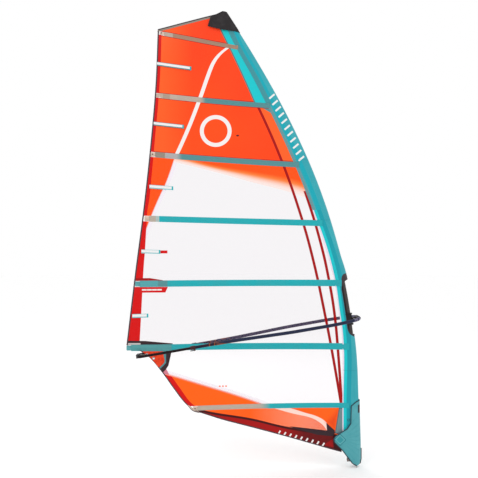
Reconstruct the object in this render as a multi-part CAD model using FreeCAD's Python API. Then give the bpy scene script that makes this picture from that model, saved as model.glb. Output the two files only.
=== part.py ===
"""Windsurf sail rig: mast, luff-sleeve sail with seven battens, clamp-on wishbone boom and downhaul.

Frame: millimetres, origin at the mouth of the mast foot socket. +Z runs up the foot of the
mast, +X points ahead of the luff, and the sail runs aft towards -X. +Y is the port side.
"""
import math
import os

import FreeCAD, Part

# ---- driving dimensions -------------------------------------------------------------------

# Mast: straight at the foot, then bent aft. The bend is a polynomial in the height above BEND_START.
MAST_BOTTOM = 118
MAST_TOP = 4518
MAST_SPLIT = 2270
BEND_START = 430
BEND_SPAN = 4100
BEND = (880, 810, -373)
MAST_RADIUS = 24
MAST_TIP_RADIUS = 12
TAPER_START = 2000
MAST_WALL = 3

# Sail outline: smooth curves of X against Z, through these points.
SEAM = ((150, -125), (610, -125), (1250, -125), (1570, -165), (1890, -215), (2530, -415),
        (3170, -675), (3810, -985), (4290, -1245), (4530, -1335))
LEECH = ((1140, -2296), (1890, -2207), (2530, -2125), (3170, -2056), (3810, -2003), (4380, -1982))
CLEW_EDGE = ((560, -1610), (605, -1690), (770, -1822), (925, -1933), (1074, -2058), (1140, -2150))
FOOT_EDGE = ((-1600, 540), (-1485, 502), (-1325, 450), (-1025, 370), (-725, 290), (-435, 210),
             (-255, 160), (-140, 130))
HEAD_LUFF_Z = 4522
HEAD_LEECH_Z = 4374

# Shape out of the mast plane, towards port: fullness against Z, and the twist of the head.
FULLNESS = ((0, 0), (565, 38), (1170, 62), (1800, 86), (2460, 76), (3110, 62), (3700, 44), (4530, 2))
CLEW_X = -2086
CLEW_Z = 1106
CLEW_FLAT_RADIUS = 350
HEAD_TWIST = 65
CLOTH = 2.0

# Battens from the head down: luff Z, leech X, leech Z, pocket width, rod radius.
BATTENS = ((4175, -1965, 4335, 40, 4.0), (3595, -1998, 3705, 50, 4.0), (3005, -2052, 3110, 55, 4.5),
           (2420, -2112, 2465, 60, 4.5), (1820, -2205, 1810, 64, 5.5), (1186, -2290, 1170, 64, 5.5),
           (597, -1625, 565, 50, 5.5))
POCKET_HALF_DEPTH = 8
POCKET_WALL = 1.4
POCKET_EDGE = 1.2
TENSIONER_LENGTH = 45
TENSIONER_CLEARANCE = 1.5
SEAM_GAP = 0.5

# Short battens between the full ones, at the leech: luff end X, Z and leech end X, Z.
MINI_BATTENS = ((-1645, 3975, -1990, 4024), (-1720, 3390, -2022, 3420), (-1827, 2770, -2062, 2786),
                (-1955, 2130, -2142, 2136), (-2073, 1493, -2232, 1490))
MINI_WIDTH = 34

# Luff sleeve around the mast, and its cut-out for the boom.
SLEEVE_CLEARANCE = 8
SLEEVE_WALL = 1.5
SLEEVE_BACK_GAP = 6
SLEEVE_BOTTOM = 300
SLEEVE_TOP = 4440
CUTOUT_TOP = 1855
CUTOUT_BOTTOM = 1290
CUTOUT_BACK = 35
CUTOUT_CORNER = 75

# Boom: clamped on the mast at BOOM_Z, tilted down aft.
BOOM_Z = 1460
BOOM_TILT = 9.9
PIN_AHEAD = 48
PIN_RADIUS = 5
RUNNING = 0.05
ARM_ROUTE = ((42, 16), (42, 140), (-190, 238), (-640, 232), (-1235, 105), (-1648, 105))
ARM_RADII = (110, 500, 900, 900)
ARM_RADIUS = 15
ARM_BORE = 13.3
GRIP_RADIUS = 16.5
GRIP_START_Y = 64
GRIP_END_X = -1388
TAIL_FRONT_X = -1400
TAIL_BACK_X = -2182
TAIL_HALF_WIDTH = 105
TAIL_CORNER = 45
TAIL_RADIUS = 13
TAIL_WALL = 2

# Foot: base extension, pulleys and downhaul.
SOCKET_BORE = 12.5
SOCKET_DEPTH = 45
SOCKET_RADIUS = 23
SOCKET_TOP = 92
EXTENSION_RADIUS = 20.3
EXTENSION_TOP = 420
TACK_X = -72
TACK_ROLLER_Z = 205
BASE_ROLLER_Z = 55
TACK_ROLLER_Y = (12, 0, -12)
BASE_ROLLER_Y = (6, -6)
ROLLER_RADIUS = 10
ROLLER_GROOVE = 7
ROLLER_WIDTH = 7.6
LINE_RADIUS = 2
AXLE_RADIUS = 3

X_AXIS = FreeCAD.Vector(1, 0, 0)
Y_AXIS = FreeCAD.Vector(0, 1, 0)
Z_AXIS = FreeCAD.Vector(0, 0, 1)
ORIGIN = FreeCAD.Vector(0, 0, 0)


# ---- curves of the rig --------------------------------------------------------------------

def vec(x, y, z):
    return FreeCAD.Vector(x, y, z)


def smooth(points, position):
    """Value at a position on the smooth curve through (position, value) points."""
    points = sorted(points)
    last = len(points) - 1
    slopes = []
    for i in range(last + 1):
        before = points[max(i - 1, 0)]
        after = points[min(i + 1, last)]
        slopes.append((after[1] - before[1]) / (after[0] - before[0]))
    i = 0
    while i < last - 1 and position > points[i + 1][0]:
        i += 1
    (p0, v0), (p1, v1) = points[i], points[i + 1]
    span = p1 - p0
    s = (position - p0) / span
    if s < 0:
        return v0 + slopes[i] * (position - p0)
    if s > 1:
        return v1 + slopes[i + 1] * (position - p1)
    start = (1 + 2 * s) * (1 - s) ** 2 * v0 + s * (1 - s) ** 2 * span * slopes[i]
    end = s * s * (3 - 2 * s) * v1 + s * s * (s - 1) * span * slopes[i + 1]
    return start + end


def mast_x(z):
    """X of the mast's axis at a height."""
    u = max(z - BEND_START, 0) / BEND_SPAN
    return -sum(c * u ** (power + 2) for power, c in enumerate(BEND))


def mast_direction(z):
    """Unit vector up along the mast."""
    u = max(z - BEND_START, 0) / BEND_SPAN
    slope = -sum(c * (power + 2) * u ** (power + 1) for power, c in enumerate(BEND)) / BEND_SPAN
    return vec(slope, 0, 1).normalize()


def mast_point(z):
    return vec(mast_x(z), 0, z)


def mast_radius(z):
    share = max(z - TAPER_START, 0) / (MAST_TOP - TAPER_START)
    return MAST_RADIUS + (MAST_TIP_RADIUS - MAST_RADIUS) * share


def seam_x(z):
    """X of the seam that joins the luff sleeve to the sail's body."""
    return smooth(SEAM, z)


def aft_edge(z):
    """X of the line that the cloth's fullness runs out to, at a height."""
    if z >= CLEW_EDGE[-1][0]:
        return smooth(LEECH, z)
    low, high = CLEW_EDGE[0], (CLEW_EDGE[-1][0], LEECH[0][1])
    return low[1] + (high[1] - low[1]) * (z - low[0]) / (high[0] - low[0])


def sail_y(x, z):
    """How far the cloth stands off the mast plane, flat at the mast and at the clew."""
    t = (seam_x(z) - x) / (seam_x(z) - aft_edge(z))
    t = min(max(t, 0), 1)
    belly = 4 * t * (1 - t) * (1.15 - 0.3 * t)
    clew_distance = math.hypot(x - CLEW_X, z - CLEW_Z)
    freedom = 1 - math.exp(-(clew_distance / CLEW_FLAT_RADIUS) ** 2)
    lift = max(z - CLEW_Z, 0) / (MAST_TOP - CLEW_Z)
    return smooth(FULLNESS, z) * belly * freedom + HEAD_TWIST * lift ** 2 * t * t


# ---- shape helpers ------------------------------------------------------------------------

def export(name, *shapes):
    """Write one sub-part; several solids go out as a group."""
    shape = shapes[0] if len(shapes) == 1 else Part.makeCompound(list(shapes))
    shape.exportStep(f"parts/{name}.step")


def cylinder(radius, start, end):
    axis = end - start
    return Part.makeCylinder(radius, axis.Length, start, axis)


def ring(outer, inner, start, end):
    return cylinder(outer, start, end).cut(cylinder(inner, start, end))


def box(x0, x1, y0, y1, z0, z1):
    return Part.makeBox(x1 - x0, y1 - y0, z1 - z0, vec(x0, y0, z0))


def circle(centre, normal, radius):
    return Part.Wire(Part.makeCircle(radius, centre, normal))


def prism(points, y0, y1):
    """Side outline in the mast plane, extruded from y0 to y1."""
    corners = [vec(x, y0, z) for x, z in points]
    outline = Part.makePolygon(corners + corners[:1])
    return Part.Face(outline).extrude(vec(0, y1 - y0, 0))


def rounded_path(points, radii):
    """Straight runs through the points, joined by tangent arcs of the given radii."""
    edges = []
    start = points[0]
    for corner, after, radius in zip(points[1:-1], points[2:], radii):
        back = (start - corner).normalize()
        ahead = (after - corner).normalize()
        half_turn = (math.pi - back.getAngle(ahead)) / 2
        reach = radius * math.tan(half_turn)
        first = corner + back * reach
        second = corner + ahead * reach
        middle_way = (back + ahead).normalize()
        middle = corner + middle_way * (radius / math.cos(half_turn) - radius)
        edges.append(Part.LineSegment(start, first).toShape())
        edges.append(Part.Arc(first, middle, second).toShape())
        start = second
    edges.append(Part.LineSegment(start, points[-1]).toShape())
    return Part.Wire(edges)


def sweep(path, radius):
    """Round bar along a path."""
    edge = path.Edges[0]
    start = edge.valueAt(edge.FirstParameter)
    tangent = edge.tangentAt(edge.FirstParameter)
    return path.makePipeShell([circle(start, tangent, radius)], True, True)


def tube(path, outer, inner):
    return sweep(path, outer).cut(sweep(path, inner))


def cloth_face(rows):
    """Smooth thin solid through rows of points, as thick as the cloth."""
    grid = [[point - Y_AXIS * (CLOTH / 2) for point in row] for row in rows]
    surface = Part.BSplineSurface()
    surface.interpolate(grid)
    return surface.toShape().extrude(Y_AXIS * CLOTH)


def tilted(shape, origin, degrees):
    """A shape modelled level at the origin, tilted in the mast plane (bow up) and moved."""
    shape = shape.copy()
    frame = FreeCAD.Placement(origin, FreeCAD.Rotation(Y_AXIS, -degrees))
    shape.Placement = frame.multiply(shape.Placement)
    return shape


# ---- mast ---------------------------------------------------------------------------------

def mast_loft(z0, z1, radius_at, steps=10):
    """Round solid along the mast's axis; radius_at gives its radius at a height."""
    wires = []
    for i in range(steps + 1):
        z = z0 + (z1 - z0) * i / steps
        wires.append(circle(mast_point(z), mast_direction(z), radius_at(z)))
    return Part.makeLoft(wires, True, False)


def mast_tube(z0, z1, outer_at, wall, steps=10):
    bore = mast_loft(z0, z1, lambda z: outer_at(z) - wall, steps)
    return mast_loft(z0, z1, outer_at, steps).cut(bore)


def mast():
    steps = 20
    export("mast_lower_section", mast_tube(MAST_BOTTOM, MAST_SPLIT, mast_radius, MAST_WALL, steps))
    export("mast_upper_section", mast_tube(MAST_SPLIT + 0.3, MAST_TOP, mast_radius, MAST_WALL, steps))
    sleeve_fit = 0.15
    export("mast_ferrule", mast_tube(MAST_SPLIT - 180, MAST_SPLIT + 180,
                                     lambda z: mast_radius(z) - MAST_WALL - sleeve_fit, MAST_WALL))
    head = cylinder(MAST_TIP_RADIUS, ORIGIN, Z_AXIS * 12)
    stem = cylinder(MAST_TIP_RADIUS - MAST_WALL - sleeve_fit, Z_AXIS * -35, ORIGIN)
    plug = head.fuse(stem)
    lean = math.degrees(math.atan2(-mast_direction(MAST_TOP).x, mast_direction(MAST_TOP).z))
    export("mast_tip_plug", tilted(plug, mast_point(MAST_TOP) + mast_direction(MAST_TOP) * 0.3, lean))


# ---- luff sleeve --------------------------------------------------------------------------

def seam_reach(z):
    """Distance from the mast's axis aft to the seam, square to the mast."""
    up = mast_direction(z)
    reach = 80
    for _ in range(8):
        reach = (mast_x(z) - seam_x(z + reach * up.x)) / up.z
    return reach


def teardrop_side(z, nose, back, half_gap):
    """Corner, tangent point and nose point of one teardrop line, in the section's plane."""
    towards_corner = math.atan2(half_gap, -back)
    turn = towards_corner - math.acos(nose / math.hypot(back, half_gap))
    touch = (nose * math.cos(turn), nose * math.sin(turn))
    up = mast_direction(z)
    ahead = vec(up.z, 0, -up.x)
    axis = mast_point(z)

    def place(forward, side):
        return axis + ahead * forward + Y_AXIS * side

    port = (place(-back, half_gap), place(*touch))
    starboard = (place(-back, -half_gap), place(touch[0], -touch[1]))
    return port, starboard, place(nose, 0)


def wrap_section(z, nose, back, half_gap, wall):
    """Open teardrop round the mast: its sides run aft from the nose and stay apart at the back."""
    port_in, starboard_in, nose_in = teardrop_side(z, nose, back, half_gap)
    port_out, starboard_out, nose_out = teardrop_side(z, nose + wall, back, half_gap + wall)
    edges = [
        Part.LineSegment(port_out[0], port_out[1]).toShape(),
        Part.Arc(port_out[1], nose_out, starboard_out[1]).toShape(),
        Part.LineSegment(starboard_out[1], starboard_out[0]).toShape(),
        Part.LineSegment(starboard_out[0], starboard_in[0]).toShape(),
        Part.LineSegment(starboard_in[0], starboard_in[1]).toShape(),
        Part.Arc(starboard_in[1], nose_in, port_in[1]).toShape(),
        Part.LineSegment(port_in[1], port_in[0]).toShape(),
        Part.LineSegment(port_in[0], port_out[0]).toShape(),
    ]
    return Part.Wire(edges)


def sleeve_section(z):
    return wrap_section(z, mast_radius(z) + SLEEVE_CLEARANCE, seam_reach(z), SLEEVE_BACK_GAP, SLEEVE_WALL)


def luff_sleeve():
    steps = 16
    heights = [SLEEVE_BOTTOM + (SLEEVE_TOP - SLEEVE_BOTTOM) * i / steps for i in range(steps + 1)]
    sleeve = Part.makeLoft([sleeve_section(z) for z in heights], True, False)
    far_ahead = 160
    corners = [vec(mast_x(CUTOUT_BOTTOM) + far_ahead, -80, CUTOUT_BOTTOM + 12),
               vec(mast_x(CUTOUT_BOTTOM) - CUTOUT_BACK, -80, CUTOUT_BOTTOM + 45),
               vec(mast_x(CUTOUT_TOP) - CUTOUT_BACK, -80, CUTOUT_TOP - 25),
               vec(mast_x(CUTOUT_TOP) + far_ahead, -80, CUTOUT_TOP + 30)]
    bite = rounded_path(corners, (CUTOUT_CORNER, CUTOUT_CORNER))
    front = Part.LineSegment(corners[-1], corners[0]).toShape()
    tool = Part.Face(Part.Wire(bite.Edges + [front])).extrude(vec(0, 160, 0))
    export("luff_sleeve", sleeve.cut(tool))


# ---- sail body ----------------------------------------------------------------------------

def batten_ends(batten):
    """Luff and leech ends of a batten's centre line."""
    luff_z, end_x, end_z = batten[:3]
    return (seam_x(luff_z), luff_z), (end_x, end_z)


def batten_line(batten, offset, edge):
    """Where a line that runs offset above (or below) a batten meets the seam and the aft edge."""
    (luff_x, luff_z), (end_x, end_z) = batten_ends(batten)
    slope = (end_z - luff_z) / (end_x - luff_x)

    def meet(side, z):
        for _ in range(8):
            z = luff_z + slope * (side(z) - luff_x) + offset
        return side(z), z

    return meet(seam_x, luff_z), meet(edge, end_z)


def panel(low, high, edge, columns=12, rows=6):
    """Panel between two lines, each given by its luff and leech ends; edge gives the leech side's X."""
    grid = []
    for row in range(rows + 1):
        share = row / rows
        luff_z = low[0][1] + (high[0][1] - low[0][1]) * share
        leech_z = low[1][1] + (high[1][1] - low[1][1]) * share
        luff_x = seam_x(luff_z) - 1
        leech_x = edge(leech_z)
        points = []
        for column in range(columns + 1):
            t = column / columns
            x = luff_x + (leech_x - luff_x) * t
            z = luff_z + (leech_z - luff_z) * t
            points.append(vec(x, sail_y(x, z), z))
        grid.append(points)
    return cloth_face(grid)


def leech_x(z):
    return smooth(LEECH, z)


def clew_edge_x(z):
    return smooth(CLEW_EDGE, z)


def foot_panel():
    """Cloth below the lowest batten, down to the curved foot edge."""
    lowest = BATTENS[-1]
    top_luff, top_leech = batten_line(lowest, -lowest[3] / 2 - SEAM_GAP, clew_edge_x)
    foot_leech, foot_luff = FOOT_EDGE[0], FOOT_EDGE[-1]
    columns = 14
    rows = 6
    grid = []
    for row in range(rows + 1):
        share = row / rows
        points = []
        for column in range(columns + 1):
            t = column / columns
            foot_x = foot_luff[0] + (foot_leech[0] - foot_luff[0]) * t
            top_x = top_luff[0] - 1 + (top_leech[0] - top_luff[0] + 1) * t
            top_z = top_luff[1] + (top_leech[1] - top_luff[1]) * t
            foot_z = min(smooth(FOOT_EDGE, foot_x), top_z - 1)
            x = foot_x + (top_x - foot_x) * share
            z = foot_z + (top_z - foot_z) * share
            points.append(vec(x, sail_y(x, z), z))
        grid.append(points)
    return cloth_face(grid)


def sail_panels():
    names = ("shoulder_panel", "upper_panel", "window_upper", "window_middle", "window_lower")
    for name, above, below in zip(names, BATTENS[:5], BATTENS[1:6]):
        low = batten_line(below, below[3] / 2 + SEAM_GAP, leech_x)
        high = batten_line(above, -above[3] / 2 - SEAM_GAP, leech_x)
        export(name, panel(low, high, leech_x))
    head_low = batten_line(BATTENS[0], BATTENS[0][3] / 2 + SEAM_GAP, leech_x)
    head_high = ((seam_x(HEAD_LUFF_Z), HEAD_LUFF_Z), (leech_x(HEAD_LEECH_Z), HEAD_LEECH_Z))
    export("head_panel", panel(head_low, head_high, leech_x, columns=8, rows=4))
    export("foot_panel", foot_panel())


# ---- clew ---------------------------------------------------------------------------------

EYELETS = ((CLEW_X, CLEW_Z), (-2019, 1067))
EYELET_BORE = 8
EYELET_BARREL = 9.9
EYELET_FLANGE = 13.5
PATCH_OUTLINE = ((-2150, 1134), (-1920, 1134), (-1902, 1040), (-1975, 962))
PATCH_THICKNESS = 1.2


def clew():
    """Lower body panel with its reinforced clew corner and two eyelets."""
    low = batten_line(BATTENS[6], BATTENS[6][3] / 2 + SEAM_GAP, clew_edge_x)
    high = batten_line(BATTENS[5], -BATTENS[5][3] / 2 - SEAM_GAP, clew_edge_x)
    body = panel(low, high, clew_edge_x, columns=14, rows=8)
    patches = []
    for side in (-1, 1):
        grid = []
        for i in range(9):
            x = -2170 + 280 * i / 8
            points = []
            for j in range(7):
                z = 940 + 200 * j / 6
                lift = side * (CLOTH / 2 + PATCH_THICKNESS / 2 + 0.3)
                points.append(vec(x, sail_y(x, z) + lift, z))
            grid.append(points)
        surface = Part.BSplineSurface()
        surface.interpolate([[p - Y_AXIS * (PATCH_THICKNESS / 2) for p in row] for row in grid])
        skin = surface.toShape().extrude(Y_AXIS * PATCH_THICKNESS)
        patches.append(skin.common(prism(PATCH_OUTLINE, -60, 60)))
    rings = []
    for x, z in EYELETS:
        centre = vec(x, sail_y(x, z), z)
        drill = cylinder(EYELET_BARREL + 0.2, centre - Y_AXIS * 60, centre + Y_AXIS * 60)
        body = body.cut(drill)
        patches = [patch.cut(drill) for patch in patches]
        ring_solid = cylinder(EYELET_BARREL, centre - Y_AXIS * 5, centre + Y_AXIS * 5)
        for side in (-1, 1):
            inner = centre + Y_AXIS * (side * 3.5)
            outer = centre + Y_AXIS * (side * 5)
            ring_solid = ring_solid.fuse(cylinder(EYELET_FLANGE, inner, outer))
        bore = cylinder(EYELET_BORE, centre - Y_AXIS * 6, centre + Y_AXIS * 6)
        rings.append(ring_solid.cut(bore).removeSplitter())
    export("lower_panel", body, *patches)
    export("clew_eyelets", *rings)


# ---- battens ------------------------------------------------------------------------------

def batten_point(batten, t):
    """Point along a batten's centre line: 0 at the seam, 1 at the leech, below 0 inside the sleeve."""
    luff, leech = batten_ends(batten)
    x = luff[0] + (leech[0] - luff[0]) * t
    z = luff[1] + (leech[1] - luff[1]) * t
    return vec(x, sail_y(x, z), z)


def pocket_section(centre, half_width, half_depth, edge):
    """Flat eight-cornered outline across a batten, in the plane of constant X."""
    flat = half_depth * 0.8
    outline = ((-half_width, edge), (-flat, half_depth), (flat, half_depth), (half_width, edge),
               (half_width, -edge), (flat, -half_depth), (-flat, -half_depth), (-half_width, -edge))
    corners = [centre + vec(0, y, z) for z, y in outline]
    return Part.makePolygon(corners + corners[:1])


def pocket(points, half_width, half_depth):
    """Hollow sewn pocket along a line of points."""
    skin = [pocket_section(p, half_width, half_depth, POCKET_EDGE) for p in points]
    hollow = [pocket_section(p, half_width - 6, half_depth - POCKET_WALL, 0.4) for p in points]
    return Part.makeLoft(skin, True, False).cut(Part.makeLoft(hollow, True, False))


def rod(points, radius, bore=0):
    shape = Part.makeLoft([circle(p, X_AXIS, radius) for p in points], True, False)
    if bore:
        shape = shape.cut(Part.makeLoft([circle(p, X_AXIS, bore) for p in points], True, False))
    return shape


def batten_tip(batten):
    """Moulded fork at the front of a batten, which bears on the back of the mast."""
    z = batten[0]
    seam = seam_x(z)
    front = mast_x(z)
    blade = box(seam + 12, front, -5, 5, z - 11, z + 11)
    clearance = mast_loft(z - 60, z + 60, lambda h: mast_radius(h) + 0.4, steps=4)
    tip = blade.cut(clearance)
    tip = max(tip.Solids, key=lambda solid: solid.Volume)
    length = batten_length(batten)
    hole_line = [batten_point(batten, -ahead / length) for ahead in (28.5, 14, 0)]
    return tip.cut(rod(hole_line, batten[4] + 0.3))


def batten_length(batten):
    luff, leech = batten_ends(batten)
    return luff[0] - leech[0]


def batten_front(batten):
    """Points of a batten's straight front end, inside the sleeve."""
    length = batten_length(batten)
    return [batten_point(batten, -ahead / length) for ahead in (28, 14)]


def tensioner_reach(batten):
    """Half height of a tensioner block, which stays inside its slanting pocket's lines."""
    luff, leech = batten_ends(batten)
    slant = abs((leech[1] - luff[1]) / (luff[0] - leech[0])) * TENSIONER_LENGTH / 2
    return min(0.4 * batten[3], batten[3] / 2 - TENSIONER_CLEARANCE - slant)


def battens():
    pockets = []
    tips = []
    tensioners = []
    screws = []
    for index, batten in enumerate(BATTENS):
        length = batten_length(batten)
        half_width = batten[3] / 2
        start = (seam_x(batten[0]) - seam_x(batten[0] + half_width) + 5) / length
        end = 1 - (TENSIONER_LENGTH + 1) / length
        body_points = [batten_point(batten, start + (end - start) * (i / 26) ** 1.2) for i in range(27)]
        radius = batten[4]
        rod_points = batten_front(batten) + body_points
        export(f"batten_{index + 1}", rod(rod_points, radius, radius - 1.5))
        pockets.append(pocket(body_points, half_width, POCKET_HALF_DEPTH))
        tips.append(batten_tip(batten))
        front = batten_point(batten, end).x - 0.5
        back = front - TENSIONER_LENGTH
        middle = batten_point(batten, (end + 1) / 2)
        y, z = middle.y, middle.z
        reach = tensioner_reach(batten)
        shell = box(back, front, y - 7, y + 7, z - reach, z + reach)
        shell = shell.makeFillet(4, shell.Edges)
        screw_hole = cylinder(2.6, vec(back - 1, y, z), vec(front - 8, y, z))
        tensioners.append(shell.cut(screw_hole))
        screws.append(cylinder(2.5, vec(back + 2, y, z), vec(front - 9, y, z)))
    for luff_x, luff_z, end_x, end_z in MINI_BATTENS:
        points = []
        for i in range(6):
            x = luff_x + (end_x - luff_x) * i / 5
            z = luff_z + (end_z - luff_z) * i / 5
            points.append(vec(x, sail_y(x, z) - CLOTH / 2 - 3.6, z))
        pockets.append(pocket(points, MINI_WIDTH / 2, 3.0))
    minis = []
    for luff_x, luff_z, end_x, end_z in MINI_BATTENS:
        sections = []
        for i in range(6):
            x = luff_x + (end_x - luff_x) * (0.04 + 0.92 * i / 5)
            z = luff_z + (end_z - luff_z) * (0.04 + 0.92 * i / 5)
            y = sail_y(x, z) - CLOTH / 2 - 3.6
            corners = [vec(x, y + a, z + b) for a, b in ((-0.5, -4), (0.5, -4), (0.5, 4), (-0.5, 4))]
            sections.append(Part.makePolygon(corners + corners[:1]))
        minis.append(Part.makeLoft(sections, True, False))
    export("batten_pockets", *pockets)
    export("batten_tips", *tips)
    export("batten_tensioners", *tensioners)
    export("tensioner_screws", *screws)
    export("mini_battens", *minis)


# ---- head ---------------------------------------------------------------------------------

CAP_OUTLINE = ((-1450, 4476), (-1330, 4532), (-1268, 4524), (-1154, 4318), (-1205, 4330),
               (-1345, 4350), (-1478, 4384))
CAP_REACH = 258
CAP_HALF_GAP = 14.5
CAP_WALL = 2.5
HEAD_LID_BACK = -1322


def cap_section(z):
    room = mast_radius(z) + SLEEVE_CLEARANCE + SLEEVE_WALL + 1
    return wrap_section(z, room, CAP_REACH, CAP_HALF_GAP, CAP_WALL)


def head_cap():
    """Moulded cap over the top of the sleeve and the mast, open aft for the head of the sail."""
    heights = [4260 + (4620 - 4260) * i / 6 for i in range(7)]
    wrap = Part.makeLoft([cap_section(z) for z in heights], True, False)
    lid = mast_loft(MAST_TOP + 14, MAST_TOP + 34, lambda z: MAST_TIP_RADIUS + 12, steps=2)
    lid = lid.common(box(HEAD_LID_BACK, HEAD_LID_BACK + 150, -60, 60, 4400, 4600))
    cap = wrap.fuse(lid).common(prism(CAP_OUTLINE, -60, 60))
    export("head_cap", cap.removeSplitter())


# ---- boom ---------------------------------------------------------------------------------

MAST_LEAN = math.degrees(math.atan2(-mast_direction(BOOM_Z).x, mast_direction(BOOM_Z).z))
CLAMP_ORIGIN = mast_point(BOOM_Z)
PIN_POINT = CLAMP_ORIGIN + FreeCAD.Rotation(Y_AXIS, -MAST_LEAN).multVec(X_AXIS * PIN_AHEAD)
CLAMP_HALF_HEIGHT = 58
LEVER_X = 10
LEVER_Y = 42


def on_mast(shape):
    return tilted(shape, CLAMP_ORIGIN, MAST_LEAN)


def on_boom(shape):
    return tilted(shape, PIN_POINT, BOOM_TILT)


def mast_clamp():
    """Split ring round the mast with a nose for the head pin and lugs for the cam lever."""
    height = CLAMP_HALF_HEIGHT
    shell = cylinder(33, Z_AXIS * -height, Z_AXIS * height)
    for low in (-height, height - 12):
        flange = cylinder(40, Z_AXIS * low, Z_AXIS * (low + 12))
        shell = shell.fuse(flange.common(box(-32.5, 60, -60, 60, -height, height)))
    nose = box(25, PIN_AHEAD, -21.7, 21.7, -12, 12)
    nose = nose.fuse(cylinder(12, vec(PIN_AHEAD, -21.7, 0), vec(PIN_AHEAD, 21.7, 0)))
    lugs = box(2.5, 17, 25, 48, -20, 20).cut(box(2, 18, 34.2, 49, -12, 12))
    shell = shell.fuse(nose).fuse(lugs)
    shell = shell.cut(cylinder(MAST_RADIUS + 0.4, Z_AXIS * (-height - 1), Z_AXIS * (height + 1)))
    shell = shell.cut(box(-4, 2, 15, 60, -height - 1, height + 1))
    shell = shell.cut(cylinder(PIN_RADIUS + 0.02, vec(PIN_AHEAD, -30, 0), vec(PIN_AHEAD, 30, 0)))
    shell = shell.cut(cylinder(3.02, vec(LEVER_X, LEVER_Y, -30), vec(LEVER_X, LEVER_Y, 30)))
    export("mast_clamp", on_mast(shell.removeSplitter()))
    head_pin = cylinder(PIN_RADIUS, vec(PIN_AHEAD, -32, 0), vec(PIN_AHEAD, 32, 0))
    lever_pin = cylinder(AXLE_RADIUS, vec(LEVER_X, LEVER_Y, -20), vec(LEVER_X, LEVER_Y, 20))
    export("clamp_pins", on_mast(head_pin), on_mast(lever_pin))


def clamp_lever():
    """Cam lever that closes the clamp and lies back along the ring's port side."""
    hub = cylinder(6.5, vec(LEVER_X, LEVER_Y, -11.6), vec(LEVER_X, LEVER_Y, 11.6))
    arm = box(-72, LEVER_X, LEVER_Y - 4.5, LEVER_Y + 3.5, -10, 10)
    lift = box(-72, -52, LEVER_Y - 4.5, LEVER_Y + 8, -10, 10)
    lever = hub.fuse(arm).fuse(lift)
    lever = lever.cut(cylinder(3 + RUNNING, vec(LEVER_X, LEVER_Y, -15), vec(LEVER_X, LEVER_Y, 15)))
    export("clamp_lever", on_mast(lever.removeSplitter()))


def arm_path(side, start_y=None, end_x=None):
    points = [vec(x, side * y, 0) for x, y in ARM_ROUTE]
    if start_y is not None:
        points[0] = vec(points[0].x, side * start_y, 0)
    if end_x is not None:
        points[-1] = vec(end_x, points[-1].y, 0)
    return rounded_path(points, ARM_RADII)


def boom_head():
    """Front casting: holds both arm ends and hinges on the head pin."""
    bar_x = ARM_ROUTE[0][0]
    bar = cylinder(21, vec(bar_x, -60, 0), vec(bar_x, 60, 0))
    for side in (-1, 1):
        low, high = sorted((side * 22, side * 31))
        ear = box(0, bar_x, low, high, -12, 12)
        ear = ear.fuse(cylinder(12, vec(0, low, 0), vec(0, high, 0)))
        bar = bar.fuse(ear)
    for side in (-1, 1):
        socket = cylinder(ARM_RADIUS + 0.05, vec(bar_x, side * 15.5, 0), vec(bar_x, side * 61, 0))
        bar = bar.cut(socket)
    bar = bar.cut(cylinder(PIN_RADIUS + RUNNING, vec(0, -40, 0), vec(0, 40, 0)))
    export("boom_head", on_boom(bar.removeSplitter()))


COLLAR_FRONT_X = -1600
COLLAR_BACK_X = -1648
CLIP_PIN_X = -1611
CLIP_PIN_Z = -27


def boom_arms():
    grips = []
    collars = []
    for side, name in ((1, "port"), (-1, "starboard")):
        export(f"boom_arm_{name}", on_boom(tube(arm_path(side), ARM_RADIUS, ARM_BORE)))
        grips.append(on_boom(tube(arm_path(side, GRIP_START_Y, GRIP_END_X), GRIP_RADIUS, ARM_RADIUS + 0.05)))
        y = side * TAIL_HALF_WIDTH
        collar = cylinder(19.5, vec(COLLAR_BACK_X, y, 0), vec(COLLAR_FRONT_X, y, 0))
        for offset in (-9, 6):
            collar = collar.fuse(box(-1618, -1603, y + offset, y + offset + 3, -32, -10))
        collar = collar.cut(cylinder(ARM_RADIUS + 0.05, vec(COLLAR_BACK_X - 1, y, 0), vec(-1599, y, 0)))
        pin_hole = cylinder(2.5 + RUNNING, vec(CLIP_PIN_X, y - 12, CLIP_PIN_Z), vec(CLIP_PIN_X, y + 12, CLIP_PIN_Z))
        collars.append(on_boom(collar.cut(pin_hole).removeSplitter()))
        clip = cylinder(4.5, vec(CLIP_PIN_X, y - 5.7, CLIP_PIN_Z), vec(CLIP_PIN_X, y + 5.7, CLIP_PIN_Z))
        clip = clip.fuse(box(-1654, CLIP_PIN_X, y - 5.5, y + 5.5, CLIP_PIN_Z - 3.5, CLIP_PIN_Z + 3))
        clip = clip.fuse(cylinder(2.5, vec(CLIP_PIN_X, y - 9, CLIP_PIN_Z), vec(CLIP_PIN_X, y + 9, CLIP_PIN_Z)))
        export(f"{name}_clip", on_boom(clip.removeSplitter()))
    export("boom_grips", *grips)
    export("tail_collars", *collars)


OUTHAUL_ROLLER_X = TAIL_BACK_X + 25
OUTHAUL_ROLLER_Y = 22
OUTHAUL_ROLLER_RADIUS = 9.5
OUTHAUL_GROOVE = 6
OUTHAUL_REACH = OUTHAUL_GROOVE + LINE_RADIUS
OUTHAUL_LINE_X = OUTHAUL_ROLLER_X - OUTHAUL_REACH


def grooved_roller(radius, groove, width, bore):
    """Pulley sheave about the Y axis, with a round groove for the line."""
    sheave = Part.makeCylinder(radius, width, vec(0, -width / 2, 0), Y_AXIS)
    room = LINE_RADIUS + 0.8
    rope_room = Part.makeTorus(groove + room - 0.2, room, ORIGIN, Y_AXIS)
    hole = Part.makeCylinder(bore, width + 2, vec(0, -width / 2 - 1, 0), Y_AXIS)
    return sheave.cut(rope_room).cut(hole)


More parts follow.
